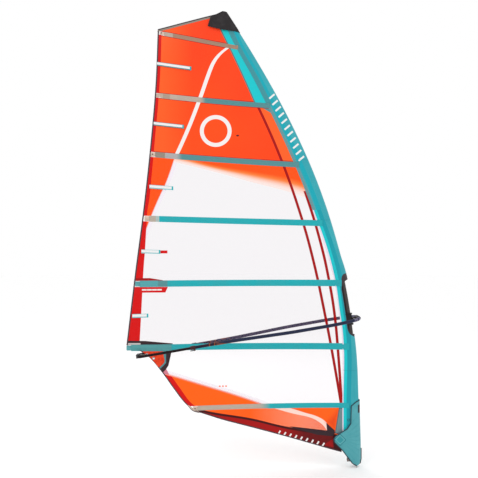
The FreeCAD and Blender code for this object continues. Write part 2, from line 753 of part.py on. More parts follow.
def boom_tail():
    """U-shaped tail tube with the moulded end fitting and its two outhaul rollers."""
    u_route = [vec(TAIL_FRONT_X, TAIL_HALF_WIDTH, 0), vec(TAIL_BACK_X, TAIL_HALF_WIDTH, 0),
               vec(TAIL_BACK_X, -TAIL_HALF_WIDTH, 0), vec(TAIL_FRONT_X, -TAIL_HALF_WIDTH, 0)]
    path = rounded_path(u_route, (TAIL_CORNER, TAIL_CORNER))
    export("tail_tube", on_boom(tube(path, TAIL_RADIUS, TAIL_RADIUS - TAIL_WALL)))
    block = box(TAIL_BACK_X - 19, TAIL_BACK_X + 14, -50, 50, -18, 18)
    for low, high in ((-9, -5), (5, 9)):
        block = block.fuse(box(TAIL_BACK_X + 8, TAIL_BACK_X + 36, -50, 50, low, high))
    for side in (-1, 1):
        low, high = sorted((side * 36, side * 50))
        block = block.fuse(box(TAIL_BACK_X + 10, TAIL_BACK_X + 30, low, high, -6, 6))
    block = block.cut(cylinder(TAIL_RADIUS + 0.05, vec(TAIL_BACK_X, -60, 0), vec(TAIL_BACK_X, 60, 0)))
    axles = []
    for side, name in ((1, "port"), (-1, "starboard")):
        base_point = vec(OUTHAUL_ROLLER_X, side * OUTHAUL_ROLLER_Y, 0)
        up = Z_AXIS * 9
        block = block.cut(cylinder(AXLE_RADIUS + 0.02, base_point - up * 2, base_point + up * 2))
        block = block.cut(cylinder(11, base_point - Z_AXIS * 4.9, base_point + Z_AXIS * 4.9))
        line_y = sorted((side * 20, side * 51))
        line_hole = (vec(OUTHAUL_LINE_X, line_y[0], 0), vec(OUTHAUL_LINE_X, line_y[1], 0))
        block = block.cut(cylinder(LINE_RADIUS + 0.3, *line_hole))
        axles.append(on_boom(cylinder(AXLE_RADIUS, base_point - up, base_point + up)))
        sheave = grooved_roller(OUTHAUL_ROLLER_RADIUS, OUTHAUL_GROOVE, 8.4, AXLE_RADIUS + RUNNING)
        sheave.Placement = FreeCAD.Placement(base_point, FreeCAD.Rotation(X_AXIS, 90))
        export(f"outhaul_roller_{name}", on_boom(sheave))
    export("tail_fitting", on_boom(block.removeSplitter()))
    export("outhaul_axles", *axles)
    gap = OUTHAUL_ROLLER_Y - OUTHAUL_REACH
    clew_x = (CLEW_X - PIN_POINT.x) / math.cos(math.radians(BOOM_TILT))
    route = [vec(OUTHAUL_LINE_X, 46, 0), vec(OUTHAUL_LINE_X, gap, 0), vec(clew_x, gap, 0),
             vec(clew_x, -gap, 0), vec(OUTHAUL_LINE_X, -gap, 0), vec(OUTHAUL_LINE_X, -46, 0)]
    turn = OUTHAUL_REACH
    loop = sweep(rounded_path(route, (turn, 10, 10, turn)), LINE_RADIUS)
    export("outhaul_line", on_boom(loop))


# ---- foot ---------------------------------------------------------------------------------

BUTTON_RADIUS = 5
BUTTON_Z = 26
CLEAT_Y = -34
CLEAT_TOP = 70
CLEAT_BOTTOM = 34


def base():
    """Foot of the mast: socket, extension tube, height collar, pulley housing and release button."""
    body = cylinder(SOCKET_RADIUS, ORIGIN, Z_AXIS * SOCKET_TOP)
    body = body.fuse(cylinder(EXTENSION_RADIUS - 3.4, Z_AXIS * SOCKET_TOP, Z_AXIS * (SOCKET_TOP + 30)))
    body = body.cut(cylinder(SOCKET_BORE, ORIGIN, Z_AXIS * SOCKET_DEPTH))
    button_axis = (vec(13.4, 0, BUTTON_Z), vec(40, 0, BUTTON_Z))
    body = body.cut(cylinder(BUTTON_RADIUS + RUNNING, *button_axis))
    export("mast_foot_socket", body.removeSplitter())
    button = cylinder(BUTTON_RADIUS, vec(16.4, 0, BUTTON_Z), vec(27, 0, BUTTON_Z))
    button = button.makeFillet(1, [edge for edge in button.Edges if edge.BoundBox.XMin > 26])
    export("release_button", button)
    export("extension_tube", ring(EXTENSION_RADIUS, EXTENSION_RADIUS - 3.2, Z_AXIS * (SOCKET_TOP + 0.1),
                                  Z_AXIS * EXTENSION_TOP))
    collar = ring(28, EXTENSION_RADIUS + 0.1, Z_AXIS * (SOCKET_TOP + 4), Z_AXIS * (MAST_BOTTOM - 0.3))
    export("extension_collar", collar)
    housing = cylinder(28, Z_AXIS * 34, Z_AXIS * 78)
    for side in (-1, 1):
        low, high = sorted((side * 11.5, side * 16))
        housing = housing.fuse(box(TACK_X - 14, -10, low, high, BASE_ROLLER_Z - 15, BASE_ROLLER_Z + 15))
    housing = housing.fuse(box(-13, 13, CLEAT_Y + 4, -20, CLEAT_BOTTOM, CLEAT_TOP)).removeSplitter()
    housing = housing.cut(cylinder(SOCKET_RADIUS + 0.05, Z_AXIS * 30, Z_AXIS * 80))
    axle_hole = cylinder(AXLE_RADIUS + 0.02, vec(TACK_X, -20, BASE_ROLLER_Z), vec(TACK_X, 20, BASE_ROLLER_Z))
    housing = housing.cut(axle_hole)
    roller_room = cylinder(ROLLER_RADIUS + 2, vec(TACK_X, -11.5, BASE_ROLLER_Z), vec(TACK_X, 11.5, BASE_ROLLER_Z))
    housing = housing.cut(roller_room)
    knot_hole = cylinder(LINE_RADIUS + 0.3, vec(KNOT_X, TACK_ROLLER_Y[0], 30), vec(KNOT_X, TACK_ROLLER_Y[0], 90))
    export("pulley_housing", housing.cut(knot_hole))
    cleat = box(-10, 10, CLEAT_Y - 2.8, CLEAT_Y + 3.8, CLEAT_BOTTOM, CLEAT_TOP)
    cleat = cleat.cut(box(-LINE_RADIUS - 0.3, LINE_RADIUS + 0.3, CLEAT_Y - 6, CLEAT_Y + LINE_RADIUS + 0.3,
                          CLEAT_BOTTOM - 1, CLEAT_TOP + 1))
    export("downhaul_cleat", cleat)


KNOT_X = TACK_X - ROLLER_GROOVE - LINE_RADIUS


def rollers_and_axles():
    names = []
    for index, y in enumerate(TACK_ROLLER_Y):
        names.append((f"tack_roller_{index + 1}", y, TACK_ROLLER_Z))
    for index, y in enumerate(BASE_ROLLER_Y):
        names.append((f"base_roller_{index + 1}", y, BASE_ROLLER_Z))
    for name, y, z in names:
        sheave = grooved_roller(ROLLER_RADIUS, ROLLER_GROOVE, ROLLER_WIDTH, AXLE_RADIUS + RUNNING)
        sheave.Placement = FreeCAD.Placement(vec(TACK_X, y, z), FreeCAD.Rotation())
        export(name, sheave)
    tack_axle = cylinder(AXLE_RADIUS, vec(TACK_X, -21, TACK_ROLLER_Z), vec(TACK_X, 21, TACK_ROLLER_Z))
    base_axle = cylinder(AXLE_RADIUS, vec(TACK_X, -16, BASE_ROLLER_Z), vec(TACK_X, 16, BASE_ROLLER_Z))
    export("pulley_axles", tack_axle, base_axle)


STRAP_BAR_Z = TACK_ROLLER_Z + 48
STRAP_TOP = 430


def tack_block():
    """Steel block that hangs from the tack: two cheeks, a strap bar and the webbing round it."""
    cheeks = []
    for side in (-1, 1):
        low, high = sorted((side * 17, side * 19))
        plate = box(TACK_X - 10, TACK_X + 10, low, high, TACK_ROLLER_Z, STRAP_BAR_Z)
        for z in (TACK_ROLLER_Z, STRAP_BAR_Z):
            plate = plate.fuse(cylinder(10, vec(TACK_X, low, z), vec(TACK_X, high, z)))
        cheeks.append(plate)
    bar = cylinder(3.5, vec(TACK_X, -18, STRAP_BAR_Z), vec(TACK_X, 18, STRAP_BAR_Z))
    frame = cheeks[0].fuse(bar).fuse(cheeks[1])
    hole = cylinder(AXLE_RADIUS + 0.02, vec(TACK_X, -25, TACK_ROLLER_Z), vec(TACK_X, 25, TACK_ROLLER_Z))
    export("tack_block_frame", frame.cut(hole).removeSplitter())
    inner, outer, half_width = 3.8, 5.6, 9
    loop = ring(outer, inner, vec(TACK_X, -half_width, STRAP_BAR_Z), vec(TACK_X, half_width, STRAP_BAR_Z))
    strap = loop.common(box(TACK_X - 10, TACK_X + 10, -20, 20, STRAP_BAR_Z - 10, STRAP_BAR_Z))
    for low, high in ((-outer, -inner), (inner, outer)):
        leg = box(TACK_X + low, TACK_X + high, -half_width, half_width, STRAP_BAR_Z, STRAP_TOP)
        strap = strap.fuse(leg)
    export("tack_webbing", strap.removeSplitter())


def downhaul():
    """Line rove from its knot over three tack rollers and two base rollers to the cleat."""
    reach = ROLLER_GROOVE + LINE_RADIUS
    front = TACK_X + reach
    back = TACK_X - reach
    pieces = []

    def run(start, end):
        pieces.append(cylinder(LINE_RADIUS, start, end))
        pieces.append(Part.makeSphere(LINE_RADIUS, end))

    def wrap(y, z, start, end):
        """Part turn round a roller, from one angle to another (degrees, 0 ahead, 90 up)."""
        points = []
        for degrees in (start, (start + end) / 2, end):
            angle = math.radians(degrees)
            points.append(vec(TACK_X + reach * math.cos(angle), y, z + reach * math.sin(angle)))
        pieces.append(sweep(Part.Wire(Part.Arc(*points).toShape()), LINE_RADIUS))
        return points[-1]

    knot = vec(back, TACK_ROLLER_Y[0], BASE_ROLLER_Z - 22)
    pieces.append(Part.makeSphere(4, knot))
    run(knot, vec(back, TACK_ROLLER_Y[0], TACK_ROLLER_Z))
    for y, base_y, next_y in zip(TACK_ROLLER_Y, BASE_ROLLER_Y, TACK_ROLLER_Y[1:]):
        wrap(y, TACK_ROLLER_Z, 180, 0)
        run(vec(front, y, TACK_ROLLER_Z), vec(front, base_y, BASE_ROLLER_Z))
        wrap(base_y, BASE_ROLLER_Z, 0, -180)
        run(vec(back, base_y, BASE_ROLLER_Z), vec(back, next_y, TACK_ROLLER_Z))
    entry = vec(0, CLEAT_Y, CLEAT_TOP + 3)
    drop = entry - vec(TACK_X, CLEAT_Y, TACK_ROLLER_Z)
    leave = math.degrees(math.atan2(drop.z, drop.x) + math.acos(reach / drop.Length))
    run(wrap(TACK_ROLLER_Y[-1], TACK_ROLLER_Z, 180, leave), entry)
    run(entry, vec(0, CLEAT_Y, CLEAT_BOTTOM + LINE_RADIUS))
    pieces.append(cylinder(LINE_RADIUS, vec(0, CLEAT_Y, CLEAT_BOTTOM + LINE_RADIUS),
                           vec(0, CLEAT_Y, CLEAT_BOTTOM)))
    export("downhaul_line", pieces[0].multiFuse(pieces[1:]))
    tail = [vec(0, CLEAT_Y, CLEAT_BOTTOM), vec(0, CLEAT_Y, 16), vec(3, CLEAT_Y, 2), vec(7, CLEAT_Y, -12)]
    export("downhaul_tail", sweep(rounded_path(tail, (25, 60)), LINE_RADIUS))


FAIRING_OUTLINE = ((40, 655), (2, 640), (-48, 596), (-52, 425), (-85, 372), (-205, 292), (-222, 262),
                   (-212, 232), (-130, 150), (-36, 26), (8, 2), (44, 22), (54, 80), (52, 250))
FAIRING_NOSE_X = 7
FAIRING_NOSE = 45
FAIRING_WALL = 5


def fairing():
    """Padded tack cover: wraps the foot from ahead, with both sides running aft over the tack."""
    back = 240
    half_gap = 15

    def outline(nose, gap):
        towards = math.atan2(gap, -back)
        turn = towards - math.acos(nose / math.hypot(back, gap))
        touch_x, touch_y = nose * math.cos(turn), nose * math.sin(turn)
        x = FAIRING_NOSE_X
        return (vec(x - back, gap, -20), vec(x + touch_x, touch_y, -20), vec(x + nose, 0, -20),
                vec(x + touch_x, -touch_y, -20), vec(x - back, -gap, -20))

    outer = outline(FAIRING_NOSE, half_gap + FAIRING_WALL)
    inner = outline(FAIRING_NOSE - FAIRING_WALL, half_gap)
    edges = [
        Part.LineSegment(outer[0], outer[1]).toShape(),
        Part.Arc(outer[1], outer[2], outer[3]).toShape(),
        Part.LineSegment(outer[3], outer[4]).toShape(),
        Part.LineSegment(outer[4], inner[4]).toShape(),
        Part.LineSegment(inner[4], inner[3]).toShape(),
        Part.Arc(inner[3], inner[2], inner[1]).toShape(),
        Part.LineSegment(inner[1], inner[0]).toShape(),
        Part.LineSegment(inner[0], outer[0]).toShape(),
    ]
    wrap = Part.Face(Part.Wire(edges)).extrude(Z_AXIS * 720)
    side = prism(FAIRING_OUTLINE, -80, 80)
    export("tack_fairing", wrap.common(side))


def main():
    os.makedirs("parts", exist_ok=True)
    mast()
    luff_sleeve()
    sail_panels()
    clew()
    battens()
    head_cap()
    mast_clamp()
    clamp_lever()
    boom_head()
    boom_arms()
    boom_tail()
    base()
    rollers_and_axles()
    tack_block()
    downhaul()
    fairing()


main()
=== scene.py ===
"""Looks of the windsurf sail rig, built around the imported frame.

Metres, in the row frame: origin at the mouth of the mast foot socket, +Z up, the sail runs aft
to -X, +Y to port. The cloth's curves repeat the CAD model's formulas, so the soft pieces lie
close to the CAD solids that they replace, but they don't stay inside them. The panels bow up to
7 mm between the battens, the sleeve is looser than its solid, and the batten pockets reach
further forward over it. The edge tapes, the cut-out's lip, the corner patch and the cover's
bumper and piping have no solid of their own.
"""
import math
from contextlib import contextmanager
import bmesh
import bpy
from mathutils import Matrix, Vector, noise


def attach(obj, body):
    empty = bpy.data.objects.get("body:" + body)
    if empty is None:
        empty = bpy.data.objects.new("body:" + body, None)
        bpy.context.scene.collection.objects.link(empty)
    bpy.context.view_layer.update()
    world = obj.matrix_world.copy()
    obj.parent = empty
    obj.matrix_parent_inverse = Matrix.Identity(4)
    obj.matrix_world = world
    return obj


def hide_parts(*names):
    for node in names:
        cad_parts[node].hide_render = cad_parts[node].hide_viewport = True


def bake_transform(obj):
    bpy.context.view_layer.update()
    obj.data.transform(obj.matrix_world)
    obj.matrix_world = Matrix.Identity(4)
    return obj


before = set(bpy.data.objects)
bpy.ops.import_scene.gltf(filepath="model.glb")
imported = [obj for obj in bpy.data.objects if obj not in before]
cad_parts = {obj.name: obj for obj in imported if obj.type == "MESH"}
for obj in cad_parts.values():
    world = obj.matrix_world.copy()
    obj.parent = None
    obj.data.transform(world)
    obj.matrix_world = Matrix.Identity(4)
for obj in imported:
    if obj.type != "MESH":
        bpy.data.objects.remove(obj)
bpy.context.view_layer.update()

MM = 0.001
TURN = 2 * math.pi

# ---- the rig's curves ----

BEND_START = 0.430
BEND_SPAN = 4.100
BEND = (0.880, 0.810, -0.373)
MAST_RADIUS = 0.024
MAST_TIP_RADIUS = 0.012
MAST_TOP = 4.518
TAPER_START = 2.0

SEAM = ((0.150, -0.125), (0.610, -0.125), (1.250, -0.125), (1.570, -0.165), (1.890, -0.215),
        (2.530, -0.415), (3.170, -0.675), (3.810, -0.985), (4.290, -1.245), (4.530, -1.335))
LEECH = ((1.140, -2.296), (1.890, -2.207), (2.530, -2.125), (3.170, -2.056), (3.810, -2.003),
         (4.380, -1.982))
CLEW_EDGE = ((0.560, -1.610), (0.605, -1.690), (0.770, -1.822), (0.925, -1.933), (1.074, -2.058),
             (1.140, -2.150))
FOOT_EDGE = ((-1.600, 0.540), (-1.485, 0.502), (-1.325, 0.450), (-1.025, 0.370), (-0.725, 0.290),
             (-0.435, 0.210), (-0.255, 0.160), (-0.140, 0.130))
HEAD_LUFF_Z = 4.522
HEAD_LEECH_Z = 4.374
FULLNESS = ((0, 0), (0.565, 0.038), (1.170, 0.062), (1.800, 0.086), (2.460, 0.076), (3.110, 0.062),
            (3.700, 0.044), (4.530, 0.002))
CLEW_X = -2.086
CLEW_Z = 1.106
CLEW_FLAT_RADIUS = 0.350
HEAD_TWIST = 0.065

# Battens from the head down: luff Z, leech X, leech Z, pocket width.
BATTENS = ((4.175, -1.965, 4.335, 0.040), (3.595, -1.998, 3.705, 0.050), (3.005, -2.052, 3.110, 0.055),
           (2.420, -2.112, 2.465, 0.060), (1.820, -2.205, 1.810, 0.064), (1.186, -2.290, 1.170, 0.064),
           (0.597, -1.625, 0.565, 0.050))
# Short battens at the leech, from the head down: luff X and Z, leech X and Z.
MINI_BATTENS = ((-1.645, 3.975, -1.990, 4.024), (-1.720, 3.390, -2.022, 3.420),
                (-1.827, 2.770, -2.062, 2.786), (-1.955, 2.130, -2.142, 2.136),
                (-2.073, 1.493, -2.232, 1.490))
EYELETS = ((CLEW_X, CLEW_Z), (-2.019, 1.067))
EYELET_HOLE = 0.0105
TENSIONER_LENGTH = 0.045
SEAM_GAP = 0.0005

PIN_POINT = Vector((-0.0194, 0, 1.4666))
BOOM_TILT = math.radians(9.9)


def smooth(points, position):
    """Value at a position on the smooth curve through (position, value) points."""
    points = sorted(points)
    last = len(points) - 1
    slopes = []
    for i in range(last + 1):
        before = points[max(i - 1, 0)]
        after = points[min(i + 1, last)]
        slopes.append((after[1] - before[1]) / (after[0] - before[0]))
    i = 0
    while i < last - 1 and position > points[i + 1][0]:
        i += 1
    (p0, v0), (p1, v1) = points[i], points[i + 1]
    span = p1 - p0
    s = (position - p0) / span
    if s < 0:
        return v0 + slopes[i] * (position - p0)
    if s > 1:
        return v1 + slopes[i + 1] * (position - p1)
    start = (1 + 2 * s) * (1 - s) ** 2 * v0 + s * (1 - s) ** 2 * span * slopes[i]
    end = s * s * (3 - 2 * s) * v1 + s * s * (s - 1) * span * slopes[i + 1]
    return start + end


def mast_x(z):
    u = max(z - BEND_START, 0) / BEND_SPAN
    return -sum(c * u ** (power + 2) for power, c in enumerate(BEND))


def mast_up(z):
    u = max(z - BEND_START, 0) / BEND_SPAN
    slope = -sum(c * (power + 2) * u ** (power + 1) for power, c in enumerate(BEND)) / BEND_SPAN
    return Vector((slope, 0, 1)).normalized()


def mast_radius(z):
    share = max(z - TAPER_START, 0) / (MAST_TOP - TAPER_START)
    return MAST_RADIUS + (MAST_TIP_RADIUS - MAST_RADIUS) * share


def seam_x(z):
    return smooth(SEAM, z)


def leech_x(z):
    return smooth(LEECH, z)


def clew_edge_x(z):
    return smooth(CLEW_EDGE, z)


def aft_edge(z):
    if z >= CLEW_EDGE[-1][0]:
        return leech_x(z)
    low, high = CLEW_EDGE[0], (CLEW_EDGE[-1][0], LEECH[0][1])
    return low[1] + (high[1] - low[1]) * (z - low[0]) / (high[0] - low[0])


def sail_y(x, z):
    """How far the cloth stands off the mast plane, flat at the mast and at the clew."""
    t = (seam_x(z) - x) / (seam_x(z) - aft_edge(z))
    t = min(max(t, 0), 1)
    belly = 4 * t * (1 - t) * (1.15 - 0.3 * t)
    clew_distance = math.hypot(x - CLEW_X, z - CLEW_Z)
    freedom = 1 - math.exp(-(clew_distance / CLEW_FLAT_RADIUS) ** 2)
    lift = max(z - CLEW_Z, 0) / (MAST_TOP - CLEW_Z)
    return smooth(FULLNESS, z) * belly * freedom + HEAD_TWIST * lift ** 2 * t * t


def on_sail(x, z, off=0):
    return Vector((x, sail_y(x, z) + off, z))


def boom_point(x, y, z=0):
    """A point given in the boom's own frame: x forward of the head pin, y to port, z up."""
    cos, sin = math.cos(BOOM_TILT), math.sin(BOOM_TILT)
    return PIN_POINT + Vector((x * cos - z * sin, y, x * sin + z * cos))


def batten_ends(batten):
    return (seam_x(batten[0]), batten[0]), (batten[1], batten[2])


def batten_line(batten, offset, edge):
    """Where a line that runs offset above (or below) a batten meets the seam and the aft edge."""
    (luff_x, luff_z), (end_x, end_z) = batten_ends(batten)
    slope = (end_z - luff_z) / (end_x - luff_x)

    def meet(side, z):
        for _ in range(8):
            z = luff_z + slope * (side(z) - luff_x) + offset
        return side(z), z

    return meet(seam_x, luff_z), meet(edge, end_z)


# ---- mesh helpers ----

@contextmanager
def editing(piece):
    """The piece's mesh, open for edits that are written back at the end."""
    bm = bmesh.new()
    bm.from_mesh(piece.data)
    yield bm
    bm.to_mesh(piece.data)
    bm.free()


def finish_mesh(name, points, faces, flat, run, sharp=40):
    """Object from points and faces, with two maps: Flat is the place on the sail, Run along and across."""
    mesh = bpy.data.meshes.new(name)
    mesh.from_pydata([tuple(p) for p in points], [], faces)
    for map_name, values in (("Flat", flat), ("Run", run)):
        layer = mesh.uv_layers.new(name=map_name)
        index = 0
        for face in values:
            for pair in face:
                layer.data[index].uv = pair
                index += 1
    piece = bpy.data.objects.new(name, mesh)
    bpy.context.scene.collection.objects.link(piece)
    with editing(piece) as bm:
        bmesh.ops.recalc_face_normals(bm, faces=bm.faces)
    for polygon in mesh.polygons:
        polygon.use_smooth = True
    mesh.set_sharp_from_angle(angle=math.radians(sharp))
    return piece


def loft(name, rows, closed=True, caps=False, sharp=40):
    """Skin through rows of points; closed joins each row's last point to its first."""
    count = len(rows[0])
    along = [0.0]
    for before, after in zip(rows, rows[1:]):
        along.append(along[-1] + (Vector(after[0]) - Vector(before[0])).length)
    widest = rows[len(rows) // 2]
    across = [0.0]
    for j in range(count):
        step = Vector(widest[(j + 1) % count]) - Vector(widest[j])
        across.append(across[-1] + step.length)
    points = [p for row in rows for p in row]
    faces, flat, run = [], [], []
    spans = count if closed else count - 1
    for i in range(len(rows) - 1):
        for j in range(spans):
            corners = ((i, j), (i, j + 1), (i + 1, j + 1), (i + 1, j))
            faces.append([a * count + b % count for a, b in corners])
            run.append([(along[a], across[b]) for a, b in corners])
    if caps:
        for i in (0, len(rows) - 1):
            faces.append([i * count + j for j in range(count)])
            run.append([(along[i], across[j]) for j in range(count)])
    for face in faces:
        flat.append([(points[i][0], points[i][2]) for i in face])
    return finish_mesh(name, points, faces, flat, run, sharp)


def nurbs_curve(name, points, smoothness):
    """Curve object along the NURBS line of a route."""
    curve = bpy.data.curves.new(name, "CURVE")
    curve.dimensions = "3D"
    spline = curve.splines.new("NURBS")
    spline.points.add(len(points) - 1)
    for target, point in zip(spline.points, points):
        target.co = (*point, 1)
    spline.order_u = 3
    spline.use_endpoint_u = True
    spline.resolution_u = smoothness
    holder = bpy.data.objects.new(name, curve)
    bpy.context.scene.collection.objects.link(holder)
    return holder


def line_through(points, smoothness=10):
    """Points along the NURBS line of a route."""
    holder = nurbs_curve("route", points, smoothness)
    curve = holder.data
    mesh = bpy.data.meshes.new_from_object(holder)
    line = [v.co.copy() for v in mesh.vertices]
    bpy.data.objects.remove(holder)
    bpy.data.curves.remove(curve)
    bpy.data.meshes.remove(mesh)
    return line


def circle(sides):
    """Cosine and sine at even steps round a full turn."""
    angles = [TURN * j / sides for j in range(sides)]
    return [(math.cos(angle), math.sin(angle)) for angle in angles]


def spread(low, high, count):
    """Values at even steps from low to high, both included."""
    return [low + (high - low) * i / count for i in range(count + 1)]


def tube(name, line, radius, sides=10, flatten=1.0, wide=None):
    """Round bar along a line; flatten squeezes it across the direction that wide gives."""
    rows = []
    side = None
    for i, point in enumerate(line):
        before, after = line[max(i - 1, 0)], line[min(i + 1, len(line) - 1)]
        ahead = (Vector(after) - Vector(before)).normalized()
        if wide is not None:
            side = Vector(wide)
        elif side is None:
            side = Vector((0, 0, 1)) if abs(ahead.z) < 0.8 else Vector((1, 0, 0))
        side = (side - ahead * side.dot(ahead)).normalized()
        other = ahead.cross(side)
        rows.append([Vector(point) + side * (radius * cos) + other * (radius * flatten * sin)
                     for cos, sin in circle(sides)])
    return loft(name, rows, caps=True, sharp=60)


def lathe(name, centre, axis, profile, sides=40):
    """Ring turned round an axis from a closed profile of (radius, offset) pairs."""
    axis = Vector(axis).normalized()
    side = axis.orthogonal().normalized()
    other = axis.cross(side)
    rows = []
    for cos, sin in circle(sides):
        out = side * cos + other * sin
        rows.append([Vector(centre) + out * radius + axis * offset for radius, offset in profile])
    rows.append(rows[0])
    piece = loft(name, rows, sharp=50)
    with editing(piece) as bm:
        bmesh.ops.remove_doubles(bm, verts=bm.verts, dist=1e-7)
        bmesh.ops.recalc_face_normals(bm, faces=bm.faces)
    return piece


def cloth(name, place, columns, rows, billow=0.0):
    """Sheet of sail: place gives (x, z) for shares along and up; billow bows it between its battens."""
    grid = []
    for i in range(rows + 1):
        row = []
        for j in range(columns + 1):
            along, up = j / columns, i / rows
            x, z = place(along, up)
            scoop = billow * math.sin(math.pi * up) * math.sin(math.pi * along) ** 0.7
            crease = 1.2 * MM * noise.noise(Vector((x * 5, z * 2.2, 4)))
            crease *= math.sin(math.pi * up)
            row.append(on_sail(x, z, scoop + crease))
        grid.append(row)
    return loft(name, grid, closed=False, sharp=80)


def punch(piece, centre, radius):
    """Cuts a small hole through a sheet, which a ring's flange then covers."""
    def away(face):
        middle = face.calc_center_median()
        return math.hypot(middle.x - centre[0], middle.z - centre[1])

    with editing(piece) as bm:
        for reach in (4 * radius, 2.2 * radius):
            near = {edge for face in bm.faces if away(face) < reach + 0.01 for edge in face.edges}
            in_order = sorted(near, key=lambda edge: edge.index)
            bmesh.ops.subdivide_edges(bm, edges=in_order, cuts=2, use_grid_fill=True)
            bm.edges.index_update()
        gone = [face for face in bm.faces if away(face) < radius]
        bmesh.ops.delete(bm, geom=gone, context="FACES")


# ---- paint: node fields ----

def screen(red, green, blue):
    """Linear colour from screen values of 0 to 255."""
    def linear(value):
        value /= 255
        return value / 12.92 if value <= 0.04045 else ((value + 0.055) / 1.055) ** 2.4
    return (linear(red), linear(green), linear(blue), 1.0)


class Field:
    """A number that varies over a surface, as a node's output."""

    def __init__(self, tree, socket):
        self.tree = tree
        self.socket = socket

    def math(self, operation, *others, clamp=False):
        node = self.tree.nodes.new("ShaderNodeMath")
        node.operation = operation
        node.use_clamp = clamp
        for socket, value in zip(node.inputs, (self, *others)):
            if isinstance(value, Field):
                self.tree.links.new(value.socket, socket)
            else:
                socket.default_value = value
        return Field(self.tree, node.outputs[0])

    def __add__(self, other):
        return self.math("ADD", other)

    def __sub__(self, other):
        return self.math("SUBTRACT", other)

    def __mul__(self, other):
        return self.math("MULTIPLY", other)

    def abs(self):
        return self.math("ABSOLUTE")

    def wave(self, pitch):
        """Sine of this field, from -1 to 1, once every pitch."""
        return (self * (TURN / pitch)).math("SINE")

    def either(self, other):
        return self.math("MAXIMUM", other)

    def over(self, limit, soft=1.0 * MM):
        """Mask: 1 where this field is above the limit."""
        return (self - limit).math("MULTIPLY_ADD", 1 / soft, 0.5, clamp=True)

    def under(self, limit, soft=1.0 * MM):
        return (self - limit).math("MULTIPLY_ADD", -1 / soft, 0.5, clamp=True)

    def near(self, centre, half, soft=1.0 * MM):
        """Mask: 1 within half of the centre."""
        return (self - centre).abs().under(half, soft)

    def curve(self, points):
        """The smooth curve through (position, value) points, at this field."""
        points = sorted(points)
        low, high = points[0][0], points[-1][0]
        values = [value for _, value in points]
        base = min(values)
        rise = max(values) - base
        node = self.tree.nodes.new("ShaderNodeFloatCurve")
        line = node.mapping.curves[0]
        pairs = [((p - low) / (high - low), (v - base) / rise) for p, v in points]
        line.points[0].location = pairs[0]
        line.points[-1].location = pairs[-1]
        for pair in pairs[1:-1]:
            line.points.new(*pair)
        node.mapping.update()
        share = (self - low) * (1 / (high - low))
        self.tree.links.new(share.socket, node.inputs["Value"])
        return Field(self.tree, node.outputs[0]) * rise + base


def inside(x, z, corners):
    """Distance inside a convex outline (negative outside), for corners in either sense."""
    area = 0.0
    for (x0, z0), (x1, z1) in zip(corners, corners[1:] + corners[:1]):
        area += x0 * z1 - x1 * z0
    sense = 1 if area > 0 else -1
    nearest = None
    for (x0, z0), (x1, z1) in zip(corners, corners[1:] + corners[:1]):
        length = math.hypot(x1 - x0, z1 - z0)
        a, b = sense * -(z1 - z0) / length, sense * (x1 - x0) / length
        edge = x * a + z * b - (a * x0 + b * z0)
        nearest = edge if nearest is None else nearest.math("MINIMUM", edge)
    return nearest


def from_spot(x, z, spot):
    """Distance from a point, as a field."""
    return ((x - spot[0]).math("POWER", 2.0) + (z - spot[1]).math("POWER", 2.0)).math("SQRT")


def stroke(x, z, start, end):
    """Distance from a straight stroke between two points, as a field."""
    length = math.hypot(end[0] - start[0], end[1] - start[1])
    a, b = (end[0] - start[0]) / length, (end[1] - start[1]) / length
    along = (x - start[0]) * a + (z - start[1]) * b
    beyond = (along - length / 2).abs() - length / 2
    side = ((z - start[1]) * a - (x - start[0]) * b).abs()
    return side.either(beyond)


